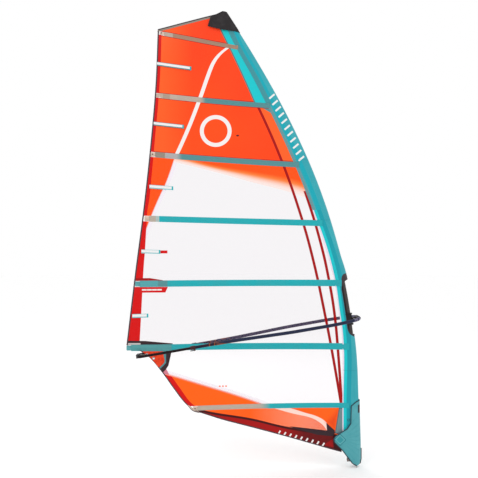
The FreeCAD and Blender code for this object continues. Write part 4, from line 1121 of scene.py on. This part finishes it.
def small_pockets():
    """Short pockets at the leech, between the full battens, on the starboard face."""
    width = 38 * MM
    border = 7 * MM
    finishes = []
    for name, border_colour in (("small_pocket", GREY_TEAL), ("small_pocket_pale", screen(128, 186, 190))):
        finish = Finish(name, screen(228, 228, 228), 0.6)
        along, across = finish.map("Run")
        for edge in (0, width, 2 * width):
            finish.paint(across.near(edge, border), border_colour)
        finish.paint(along.under(15 * MM), screen(34, 164, 170))
        stitch(finish, along, across, (5.5 * MM, width - 5.5 * MM))
        finishes.append(finish)
    for index, (luff_x, luff_z, end_x, end_z) in enumerate(MINI_BATTENS):
        line = zip(spread(luff_x, end_x, 24), spread(luff_z, end_z, 24))
        points = [on_sail(x, z, -4.6 * MM) for x, z in line]
        piece = pocket_shell(f"small_pocket_{index + 1}", points, width / 2, 2.9 * MM)
        soft(piece, "pocket_cloth", finishes[0 if index < 2 else 1], "batten_pockets")
        if index == 4:
            follow_above_clew(piece)
        else:
            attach(piece, "rig")


# ---- clew ----

# The patch's forward edge, as X against Z; its aft edge follows the cloth's.
CLEW_PATCH_FRONT = ((0.975, -1.961), (1.028, -1.913), (1.100, -1.920), (1.136, -1.922))


def raised_patch(name, side, height, columns=26, rows=20):
    """Sewn-on patch at the clew, standing off one face of the cloth."""
    low, high = CLEW_PATCH_FRONT[0][0], CLEW_PATCH_FRONT[-1][0]
    grid = []
    for i in range(rows + 1):
        z = high + (low - high) * i / rows
        aft, front = clew_edge_x(z) + 3 * MM, smooth(CLEW_PATCH_FRONT, z)
        row = []
        for j in range(columns + 1):
            rim = i in (0, rows) or j in (0, columns)
            row.append(on_sail(aft + (front - aft) * j / columns, z, side * (0.3 * MM if rim else height)))
        grid.append(row)
    return loft(name, grid, closed=False, sharp=80)


def clew(steel):
    finish = Finish("clew_patch", screen(226, 62, 22), 0.5)
    x, z = finish.map("Flat")
    swirl = (finish.noise(14.0, 1.0, map_name="Flat") * 6.0).wave(1.0)
    finish.paint(swirl.over(0.2, 0.5) * 0.6, screen(196, 40, 14))
    finish.emboss(swirl, 0.4 * MM)
    for side, side_name in ((1, "port"), (-1, "starboard")):
        raised = raised_patch(f"clew_patch_{side_name}", side, 2.2 * MM)
        for eyelet in EYELETS:
            punch(raised, eyelet, EYELET_HOLE)
        follow_clew(soft(raised, "orange_film", finish, "lower_panel"))
    # (radius, offset) in millimetres, once round the ring's section.
    profile = ((8.0, -4.4), (8.6, -5.2), (10.2, -5.4), (12.6, -4.6), (13.4, -3.6), (13.2, -2.6), (10.0, -2.5),
               (10.0, 2.5), (13.2, 2.6), (13.4, 3.6), (12.6, 4.6), (10.2, 5.4), (8.6, 5.2), (8.0, 4.4))
    for index, (x, z) in enumerate(EYELETS):
        ring = lathe(f"clew_eyelet_{index + 1}", on_sail(x, z), (0, 1, 0),
                     [(radius * MM, offset * MM) for radius, offset in profile])
        follow_clew(soft(ring, "steel", steel, "clew_eyelets"))


# ---- luff sleeve ----

# How loosely the sleeve lies round the mast, against Z; it stands off most above the cut-out.
SLEEVE_LOOSENESS = ((0.30, 0.008), (0.75, 0.008), (1.00, 0.012), (1.20, 0.013), (1.32, 0.010), (1.60, 0.010),
                    (1.78, 0.020), (1.86, 0.030), (1.92, 0.028), (1.985, 0.024), (2.10, 0.015), (2.60, 0.014),
                    (2.90, 0.014), (3.40, 0.010), (3.90, 0.006), (4.44, 0.005))
SLEEVE_WALL = 1.5 * MM
SLEEVE_BACK = 6 * MM
SLEEVE_BACK_HALF = 1.6 * MM
SLEEVE_BOTTOM = 0.300
SLEEVE_TOP = 4.440
CUTOUT_LOW = 1.302
CUTOUT_HIGH = 1.850
CUTOUT_BACK = 0.026
CUTOUT_CORNER_LOW = 0.090
CUTOUT_CORNER_HIGH = 0.095


def seam_reach(z):
    """Distance from the mast's axis aft to the seam, square to the mast."""
    up = mast_up(z)
    reach = 0.08
    for _ in range(8):
        reach = (mast_x(z) - seam_x(z + reach * up.x)) / up.z
    return reach


def teardrop(nose, back, half_gap, forward):
    """Half width of a teardrop round the mast at a distance forward of the mast's axis."""
    towards_corner = math.atan2(half_gap, -back)
    turn = towards_corner - math.acos(nose / math.hypot(back, half_gap))
    touch_x, touch_y = nose * math.cos(turn), nose * math.sin(turn)
    if forward >= touch_x:
        return math.sqrt(max(nose * nose - forward * forward, 0))
    share = (forward - touch_x) / (-back - touch_x)
    return touch_y + (half_gap - touch_y) * share


def cutout_depth(z):
    """How far the cut-out reaches back from the sleeve's nose, from 0 to 1."""
    if not CUTOUT_LOW < z < CUTOUT_HIGH:
        return 0.0
    rise = min((z - CUTOUT_LOW) / CUTOUT_CORNER_LOW, (CUTOUT_HIGH - z) / CUTOUT_CORNER_HIGH, 1.0)
    return math.sqrt(1 - (1 - rise) ** 2)


def sleeve_span(z):
    """How far the sleeve reaches forward and aft of the mast's axis."""
    return mast_radius(z) + smooth(SLEEVE_LOOSENESS, z) + SLEEVE_WALL, seam_reach(z) + SLEEVE_BACK


def sleeve_point(z, forward, side, stand_off=0.0):
    """Point on the sleeve's outer face; side is 1 to port and -1 to starboard."""
    nose, back = sleeve_span(z)
    width = teardrop(nose, back, SLEEVE_BACK_HALF, forward) + stand_off
    up = mast_up(z)
    ahead = Vector((up.z, 0, -up.x))
    point = Vector((mast_x(z), 0, z)) + ahead * forward
    # The sleeve's back edge lies on the cloth, which stands off the mast plane there.
    settle = min(max((-forward / back), 0), 1)
    return point + Vector((0, side * width + sail_y(point.x, point.z) * settle ** 2, 0))


def over_sleeve(x, z, side):
    """Point just over the sleeve's face, at an X and Z of the mast plane."""
    height = z
    for _ in range(6):
        up = mast_up(height)
        height += ((x - mast_x(height)) * up.x + (z - height) * up.z) * up.z
    up = mast_up(height)
    return sleeve_point(height, (x - mast_x(height)) * up.z - (z - height) * up.x, side, 2.4 * MM)


def sleeve_columns(z, columns):
    """Distances forward of the mast's axis from the nose (or the cut-out's edge) to the seam."""
    nose, back = sleeve_span(z)
    front = nose - cutout_depth(z) * (nose + CUTOUT_BACK)
    result = []
    for j in range(columns + 1):
        share = j / columns
        spread = share * share * (1.6 - 0.6 * share)
        result.append(front - (front + back) * spread)
    return result


def sleeve_heights():
    heights = spread(SLEEVE_BOTTOM, SLEEVE_TOP, 150)
    for edge, sign, corner in ((CUTOUT_LOW, 1, CUTOUT_CORNER_LOW), (CUTOUT_HIGH, -1, CUTOUT_CORNER_HIGH)):
        heights = [z for z in heights if not -0.012 < (z - edge) * sign < corner]
        heights += [edge + sign * corner * (i / 22) ** 2 for i in range(23)]
    return sorted(heights)


# Heights where the strips printed along the sleeve's seam change.
SLEEVE_PRINT_LOW = 2.55
SLEEVE_PRINT_HIGH = 3.60
# Aft edge of the painted shade round the cut-out, which stands for the sleeve's shaded inside, as X against
# Z.
CUTOUT_SHADE_EDGE = ((1.285, -0.001), (1.296, -0.035), (1.337, -0.0754), (1.394, -0.090), (1.583, -0.104),
               (1.727, -0.127), (1.756, -0.133), (1.8245, -0.147), (1.876, -0.147), (1.919, -0.0955))


def sleeve_finish():
    finish = Finish("sleeve_cloth", TEAL, 0.7, sheen_weight=0.2)
    x, z = finish.map("Flat")
    finish.paint(finish.noise(3.0, 3.0, map_name="Flat").over(0.5, 0.4) * 0.5, screen(66, 176, 184))
    off_seam = x - z.curve(SEAM)
    low, high = z.under(SLEEVE_PRINT_LOW), z.over(SLEEVE_PRINT_HIGH)
    middle = z.over(SLEEVE_PRINT_LOW) * z.under(SLEEVE_PRINT_HIGH)
    finish.paint(off_seam.near(0.055, 0.022, 6 * MM) * z.over(SLEEVE_PRINT_LOW), BRIGHT_TEAL)
    finish.paint(off_seam.under(0.075) * low, screen(12, 150, 164))
    finish.paint(off_seam.under(0.034) * low, CYAN)
    finish.paint(off_seam.under(0.004) * low, LILAC)
    finish.paint(off_seam.under(0.022) * middle, screen(98, 144, 148))
    finish.paint(off_seam.under(0.045) * high, screen(62, 140, 148))
    # Painted shade: the cloth round the cut-out is darkened where the sleeve's shaded inside shows.
    cutout_shade = x.over(z.curve(CUTOUT_SHADE_EDGE), 3 * MM) * z.over(CUTOUT_SHADE_EDGE[0][0]) * z.under(1.92)
    finish.paint(cutout_shade, screen(60, 50, 54))
    finish.paint(from_spot(x, z, (-0.071, 0.454)).near(0.011, 2 * MM), PLUM)
    for index in range(11):
        height = 3.68 - 0.062 * index
        centre = seam_x(height) + 0.082
        bar = stroke(x, z, (centre - 0.018, height - 0.013), (centre + 0.020, height + 0.018)).under(9 * MM)
        finish.paint(bar, WHITE)
    for height in (0.95, 2.45, 3.05):
        finish.paint(z.near(height, 1.2 * MM), screen(30, 130, 142))
    finish.weave(1.5 * MM, 0.12 * MM, "Flat")
    finish.emboss(finish.noise(5.0, 2.0, (1, 0.35, 1), "Flat"), 5 * MM, 0.35)
    return finish


def luff_sleeve():
    columns = 26
    rows = []
    for z in sleeve_heights():
        reach = sleeve_columns(z, columns)
        ripple = 1.2 * MM * noise.noise(Vector((0.3, z * 9, 7)))
        port, starboard = ([sleeve_point(z, forward, side, ripple * (0 < j < columns))
                            for j, forward in enumerate(reach)] for side in (1, -1))
        rows.append(port[::-1] + starboard)
    piece = loft("luff_sleeve_cloth", rows, closed=False, sharp=80)
    with editing(piece) as bm:
        # The strip between the two front edges exists only where there is no cut-out.
        gap = [face for face in bm.faces
               if CUTOUT_LOW - 0.001 < face.calc_center_median().z < CUTOUT_HIGH + 0.001
               and max((v.co - w.co).length for v in face.verts for w in face.verts) > 0.020
               and len({v.co.y > 0 for v in face.verts}) == 2
               and cutout_depth(face.calc_center_median().z) > 0]
        bmesh.ops.delete(bm, geom=gap, context="FACES")
        bmesh.ops.remove_doubles(bm, verts=bm.verts, dist=0.05 * MM)
    soft(piece, "sleeve_cloth", sleeve_finish(), "luff_sleeve")
    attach(piece, "rig")


def cutout_lips():
    """Bound edge of the cut-out, once down each side, joined at the nose."""
    lip = Finish("cutout_lip", screen(66, 58, 62), 0.7)
    lip.weave(2 * MM, 0.2 * MM)
    count = 90
    heights = []
    for i in range(count + 1):
        share = (1 - math.cos(math.pi * i / count)) / 2
        heights.append(CUTOUT_LOW + (CUTOUT_HIGH - CUTOUT_LOW) * share)
    line = []
    for side, order in ((1, heights), (-1, heights[::-1][1:-1])):
        line += [sleeve_point(z, sleeve_columns(z, 2)[0], side) for z in order]
    line.append(line[0])
    piece = tube("cutout_lip", line, 3.4 * MM, 10)
    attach(soft(piece, "webbing", lip), "rig")


# ---- tack cover ----

# Outline in millimetres, from the top front corner down the aft edge and up the front.
COVER_OUTLINE = ((40, 655), (2, 640), (-48, 596), (-52, 425), (-85, 372), (-205, 292), (-222, 262),
                 (-212, 232), (-130, 150), (-36, 26), (8, 2), (44, 22), (54, 80), (52, 250))
# Index of the outline's lowest corner, where its aft edge ends and its front one starts.
COVER_FOOT = 10
COVER_NOSE_X = 7 * MM
COVER_NOSE = 45 * MM
COVER_BACK = 240 * MM
COVER_HALF_GAP = 20 * MM
COVER_PATCH = (-0.158, 0.260)
PATCH_REACH = 0.058


def edge_x(corners, z):
    """X at a height, straight between an edge's corners, which are given in millimetres."""
    points = sorted((height * MM, x * MM) for x, height in corners)
    for (z0, x0), (z1, x1) in zip(points, points[1:]):
        if z <= z1:
            return x0 + (x1 - x0) * (z - z0) / (z1 - z0)
    return points[-1][1]


def cover_back_x(z):
    return edge_x(COVER_OUTLINE[:COVER_FOOT + 1], z)


def cover_front_x(z):
    front = (COVER_OUTLINE[0], *COVER_OUTLINE[COVER_FOOT:])
    return min(edge_x(front, z), COVER_NOSE_X + COVER_NOSE)


def quilt(x, z):
    """Puff of the padding: shallow channels fan out from the tack patch."""
    angle = math.atan2(z - COVER_PATCH[1], x - COVER_PATCH[0])
    away = math.hypot(x - COVER_PATCH[0], z - COVER_PATCH[1])
    fan = 0.5 + 0.5 * math.cos(angle * 26)
    starts = min(max((away - 0.05) / 0.05, 0), 1)
    fades = min(max((0.30 - away) / 0.12, 0), 1)
    return -1.6 * MM * (1 - fan) ** 3 * starts * fades


def cover_rows(columns=44):
    rows = []
    for z in spread(0.0022, 0.6545, 130):
        front, back = cover_front_x(z), cover_back_x(z)
        nose = max(front - COVER_NOSE_X, 36 * MM)
        front = max(front, back + 2 * MM)
        port, starboard = [], []
        for j in range(columns + 1):
            share = j / columns
            x = front - (front - back) * share ** 1.7
            width = teardrop(nose, COVER_BACK, COVER_HALF_GAP, min(x - COVER_NOSE_X, nose))
            if z > 0.02 and 0 < j < columns:
                pinched = max(0, 1 - min(1, (1 - share) * columns / 4))
                width += quilt(x, z) - 2.2 * MM * pinched ** 2
            port.append(Vector((x, width, z)))
            starboard.append(Vector((x, -width, z)))
        rows.append(port[::-1] + starboard[1:])
    return rows


def cover_finish():
    finish = Finish("cover_foam", FOAM_TEAL, 0.82, sheen_weight=0.3)
    x, z = finish.map("Flat")
    finish.paint(finish.noise(7.0, 3.0, map_name="Flat").over(0.5, 0.5) * 0.35, screen(108, 182, 188))
    dx, dz = x - COVER_PATCH[0], z - COVER_PATCH[1]
    away = from_spot(x, z, COVER_PATCH)
    angle = dz.math("ARCTAN2", dx)
    lines = (angle * 13.0).math("SINE").abs().under(0.16, 0.12) * away.over(0.06) * away.under(0.25, 0.04)
    finish.paint(lines * 0.6, screen(52, 138, 148))
    diamond = dx.abs() + dz.abs()
    finish.paint(diamond.under(PATCH_REACH), screen(52, 142, 150))
    finish.paint(diamond.near(PATCH_REACH, 3.0 * MM), screen(30, 104, 112))
    finish.paint(diamond.near(PATCH_REACH - 14 * MM, 2.0 * MM), screen(140, 200, 204))
    finish.emboss(diamond.under(PATCH_REACH, 4 * MM), 2 * MM)
    strap_end = x.near(0.029, 0.011) * z.near(0.570, 0.040)
    finish.paint(strap_end, screen(34, 32, 38))
    finish.emboss(finish.noise(900, 1.0), 0.3 * MM)
    return finish


def tack_cover():
    rows = cover_rows()
    piece = loft("tack_cover", rows, closed=False, sharp=80)
    wall = piece.modifiers.new("wall", "SOLIDIFY")
    wall.thickness = 4.5 * MM
    wall.offset = -1
    soft(piece, "fairing_foam", cover_finish(), "tack_fairing")
    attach(piece, "rig")
    piping = Finish("cover_piping", screen(48, 62, 72), 0.6)
    along, across = piping.map("Run")
    piping.emboss((along + across).wave(3 * MM), 0.3 * MM)
    for side, side_name in ((0, "port"), (-1, "starboard")):
        line = [row[side] for row in rows]
        bead = tube(f"cover_piping_{side_name}", line, 4.8 * MM, 10)
        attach(soft(bead, "webbing", piping), "rig")
    bumper_line = [Vector((cover_front_x(z) + 2.5 * MM, 0, z)) for z in spread(0.016, 0.170, 20)]
    bumper = tube("cover_bumper", bumper_line, 12 * MM, 14, 0.55, (0, 1, 0))
    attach(soft(bumper, "black_plastic", moulded("bumper_rubber", screen(26, 24, 28), 0.6)), "rig")


# ---- lines ----

ROPE_RADIUS = 2 * MM


def rope_finish(name, base, fleck):
    finish = Finish(name, base, 0.75, sheen_weight=0.2)
    along, across = finish.map("Run")
    strands = (along * (1 / 7.0) + across * 0.32).wave(MM) * (along * (1 / 7.0) - across * 0.32).wave(MM)
    finish.paint(strands.over(0.1, 0.3), fleck)
    finish.emboss(strands, 0.35 * MM)
    return finish


def outhaul():
    """Outhaul line: from the tail's rollers forward, through the clew eyelet and back."""
    line_x, clew_x = -2.165, (CLEW_X - PIN_POINT.x) / math.cos(BOOM_TILT)
    gap = 14 * MM
    half = ((line_x, 46 * MM), (line_x, 30 * MM), (line_x, 18 * MM), (line_x + 5 * MM, gap),
            (line_x + 20 * MM, gap), (clew_x - 15 * MM, gap), (clew_x, 11 * MM), (clew_x + 4 * MM, 0))
    route = [boom_point(x, y) for x, y in half]
    mirrored = [Vector((p.x, -p.y, p.z)) for p in route[:-1]][::-1]
    piece = tube("outhaul_rope", line_through(route + mirrored, 12), ROPE_RADIUS, 12)
    finish = rope_finish("outhaul_rope", screen(212, 204, 186), screen(60, 60, 64))
    soft(piece, "rope", finish, "outhaul_line")
    boom_point(clew_x, 0)
    boom_point(line_x + 16 * MM, 0)
    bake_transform(piece)


def downhaul_end():
    """Free end of the downhaul line below its cleat."""
    route = ((0, -0.034, 0.034), (0, -0.034, 0.016), (0.003, -0.034, 0.002), (0.007, -0.034, -0.012))
    piece = nurbs_curve("downhaul_end", route, 12)
    curve = piece.data
    curve.bevel_depth = ROPE_RADIUS
    curve.bevel_resolution = 4
    curve.use_fill_caps = True
    finish = Finish("downhaul_rope", screen(96, 88, 84), 0.75)
    x, y, z = finish.place()
    strands = (z + x * 1.6 + y).wave(3.2 * MM) * (z - x * 1.6 - y).wave(3.2 * MM)
    finish.paint(strands.over(0.1, 0.3), screen(190, 184, 170))
    finish.emboss(strands, 0.3 * MM)
    curve.materials.append(finish.material)
    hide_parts("downhaul_tail")
    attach(piece, "rig")
    repaint("downhaul_line", finish)


# ---- materials of the CAD pieces ----

def moulded(name, base, roughness=0.5):
    """Moulded plastic: fine spark-eroded texture with lighter spots, which are slight wear on the high spots
    and, on the grey-teal tensioner blocks, painted highlights.
    """
    finish = Finish(name, base, roughness)
    grain = finish.noise(900, 2.0)
    paler_wear_and_highlight = tuple(min(channel * 1.9 + 0.02, 1) for channel in base[:3]) + (1,)
    # Lighter spots: slight wear, and painted highlights on the grey-teal tensioner blocks.
    finish.paint(finish.noise(22, 4.0).over(0.58, 0.25) * 0.35, paler_wear_and_highlight)
    finish.emboss(grain, 0.15 * MM, 0.4)
    finish.drive("Roughness", finish.noise(40, 3.0) * 0.25 + (roughness - 0.12))
    return finish


def brushed(name, base, roughness=0.3):
    finish = Finish(name, base, roughness, metallic=1.0)
    streaks = finish.noise(260, 3.0, (0.08, 1, 1))
    finish.drive("Roughness", streaks * 0.3 + (roughness - 0.12))
    finish.emboss(streaks, 0.05 * MM, 0.3)
    return finish


def carbon():
    """Mast laminate: wound tows under satin resin."""
    finish = Finish("mast_laminate", screen(46, 38, 38), 0.34, coat_weight=0.3, coat_roughness=0.25)
    x, y, z = finish.place()
    around = y.math("ARCTAN2", x + 0.5)
    weave = (z + around * 0.06).wave(9 * MM) * (z - around * 0.06).wave(9 * MM)
    finish.paint(weave.over(0.0, 0.8) * 0.4, screen(74, 66, 66))
    finish.emboss(weave, 0.1 * MM, 0.3)
    return finish


def boom_finishes():
    """Anodised arms with the printed stretch ahead of the collars, and the textured grips."""
    arm = Finish("boom_arm", screen(16, 24, 46), 0.34, metallic=0.3)
    x = arm.place()[0]
    patches = arm.noise(30, 2.0, (0.5, 1, 1))
    printed = x.under(-1.225) * x.over(-1.630)
    arm.paint(printed * patches.over(0.5, 0.2) * 0.6, screen(52, 16, 26))
    for start in (-1.240, -1.295, -1.350, -1.405, -1.455):
        arm.paint(x.near(start, 5 * MM), screen(136, 66, 26))
    grip = Finish("boom_grip", screen(26, 32, 58), 0.86, sheen_weight=0.15)
    x, _, z = grip.place()
    ribs = (x + z * 2).wave(5 * MM) * (x - z * 2).wave(5 * MM)
    grip.paint(ribs.over(0.3, 0.4) * 0.5, screen(44, 52, 84))
    head = x.over(-0.045, 2 * MM)
    grip.paint(head * grip.noise(60, 2.0).over(0.5, 0.05), screen(120, 112, 140))
    aft = x.under(-1.22, 3 * MM)
    grip.paint(aft * grip.noise(24, 1.0, (0.4, 1, 1)).over(0.62, 0.02) * 0.7, screen(136, 70, 30))
    grip.emboss(ribs, 0.5 * MM, 0.7)
    return arm, grip


def repaint_cad(steel):
    black = moulded("black_moulding", screen(34, 30, 32))
    grey = moulded("grey_moulding", screen(120, 108, 104), 0.45)
    laminate = carbon()
    arm, grip = boom_finishes()
    tail = brushed("tail_tube", screen(36, 28, 30), 0.36)
    strap = Finish("tack_strap", screen(48, 50, 56), 0.8)
    _, y, z = strap.place()
    strap.emboss(y.wave(2 * MM) * z.wave(2 * MM), 0.3 * MM)
    strap.paint(y.wave(2 * MM).over(0.4, 0.4) * 0.4, screen(84, 88, 96))
    wine = moulded("collar_moulding", screen(58, 26, 30), 0.42)
    groups = (
        (laminate, ("mast_lower_section", "mast_upper_section", "mast_ferrule")),
        (black, ("head_cap", "mast_tip_plug", "mast_clamp", "clamp_lever", "boom_head", "tail_fitting",
                 "port_clip", "starboard_clip", "batten_tips", "extension_collar", "release_button")),
        (wine, ("tail_collars",)),
        (grey, ("pulley_housing", "tack_roller_1", "tack_roller_2", "tack_roller_3", "base_roller_1",
                "base_roller_2", "outhaul_roller_port", "outhaul_roller_starboard")),
        (arm, ("boom_arm_port", "boom_arm_starboard")),
        (grip, ("boom_grips",)),
        (tail, ("tail_tube", "extension_tube")),
        (steel, ("pulley_axles", "clamp_pins", "outhaul_axles", "tack_block_frame", "downhaul_cleat",
                 "mast_foot_socket")),
        (strap, ("tack_webbing",)),
    )
    for finish, names in groups:
        for name in names:
            repaint(name, finish)


# ---- stage ----

CAMERA_AT = (-1.165, -7.3, 2.26)
FRAME_WIDTH = 4.78
SENSOR = 36.0
FLOOR_Z = -0.016


def area_light(name, at, target, size, power):
    data = bpy.data.lights.new(name, "AREA")
    data.shape = "DISK"
    data.size = size
    data.energy = power
    light = bpy.data.objects.new(name, data)
    bpy.context.scene.collection.objects.link(light)
    light.location = at
    light.rotation_euler = (Vector(target) - Vector(at)).to_track_quat("-Z", "Y").to_euler()


def stage():
    scene = bpy.context.scene
    scene.view_settings.view_transform = "Standard"
    data = bpy.data.cameras.new("camera")
    data.sensor_width = SENSOR
    data.lens = SENSOR * -CAMERA_AT[1] / FRAME_WIDTH
    camera = bpy.data.objects.new("camera", data)
    scene.collection.objects.link(camera)
    camera.location = CAMERA_AT
    camera.rotation_euler = (math.pi / 2, 0, 0)
    scene.camera = camera
    world = bpy.data.worlds.new("studio")
    scene.world = world
    world.use_nodes = True
    background = world.node_tree.nodes["Background"]
    background.inputs["Color"].default_value = (1, 1, 1, 1)
    background.inputs["Strength"].default_value = 1.0
    middle = (-1.1, 0, 2.2)
    area_light("key", (-5.0, -7.0, 6.0), middle, 3.5, 80)
    area_light("fill", (4.5, -6.0, 3.0), middle, 3.0, 30)
    area_light("back", (-3.0, 6.5, 5.5), middle, 4.0, 60)
    floor = loft("floor", [[(middle[0] + radius * cos, radius * sin, FLOOR_Z) for cos, sin in circle(48)]
                           for radius in (0.0, 2.0, 6.0, 14.0, 40.0)])
    finish = Finish("floor", screen(255, 255, 255), 0.9)
    finish.emboss(finish.noise(60, 2.0), 0.2 * MM, 0.2)
    repaint(floor, finish)


def main():
    stage()
    downhaul_end()
    steel = brushed("stainless", screen(190, 190, 192), 0.28)
    beige = moulded("beige_moulding", screen(186, 164, 148), 0.45)
    luff_sleeve()
    sail_body()
    edge_tapes()
    battens(beige, steel)
    clew(steel)
    cutout_lips()
    tack_cover()
    outhaul()
    repaint_cad(steel)


main()
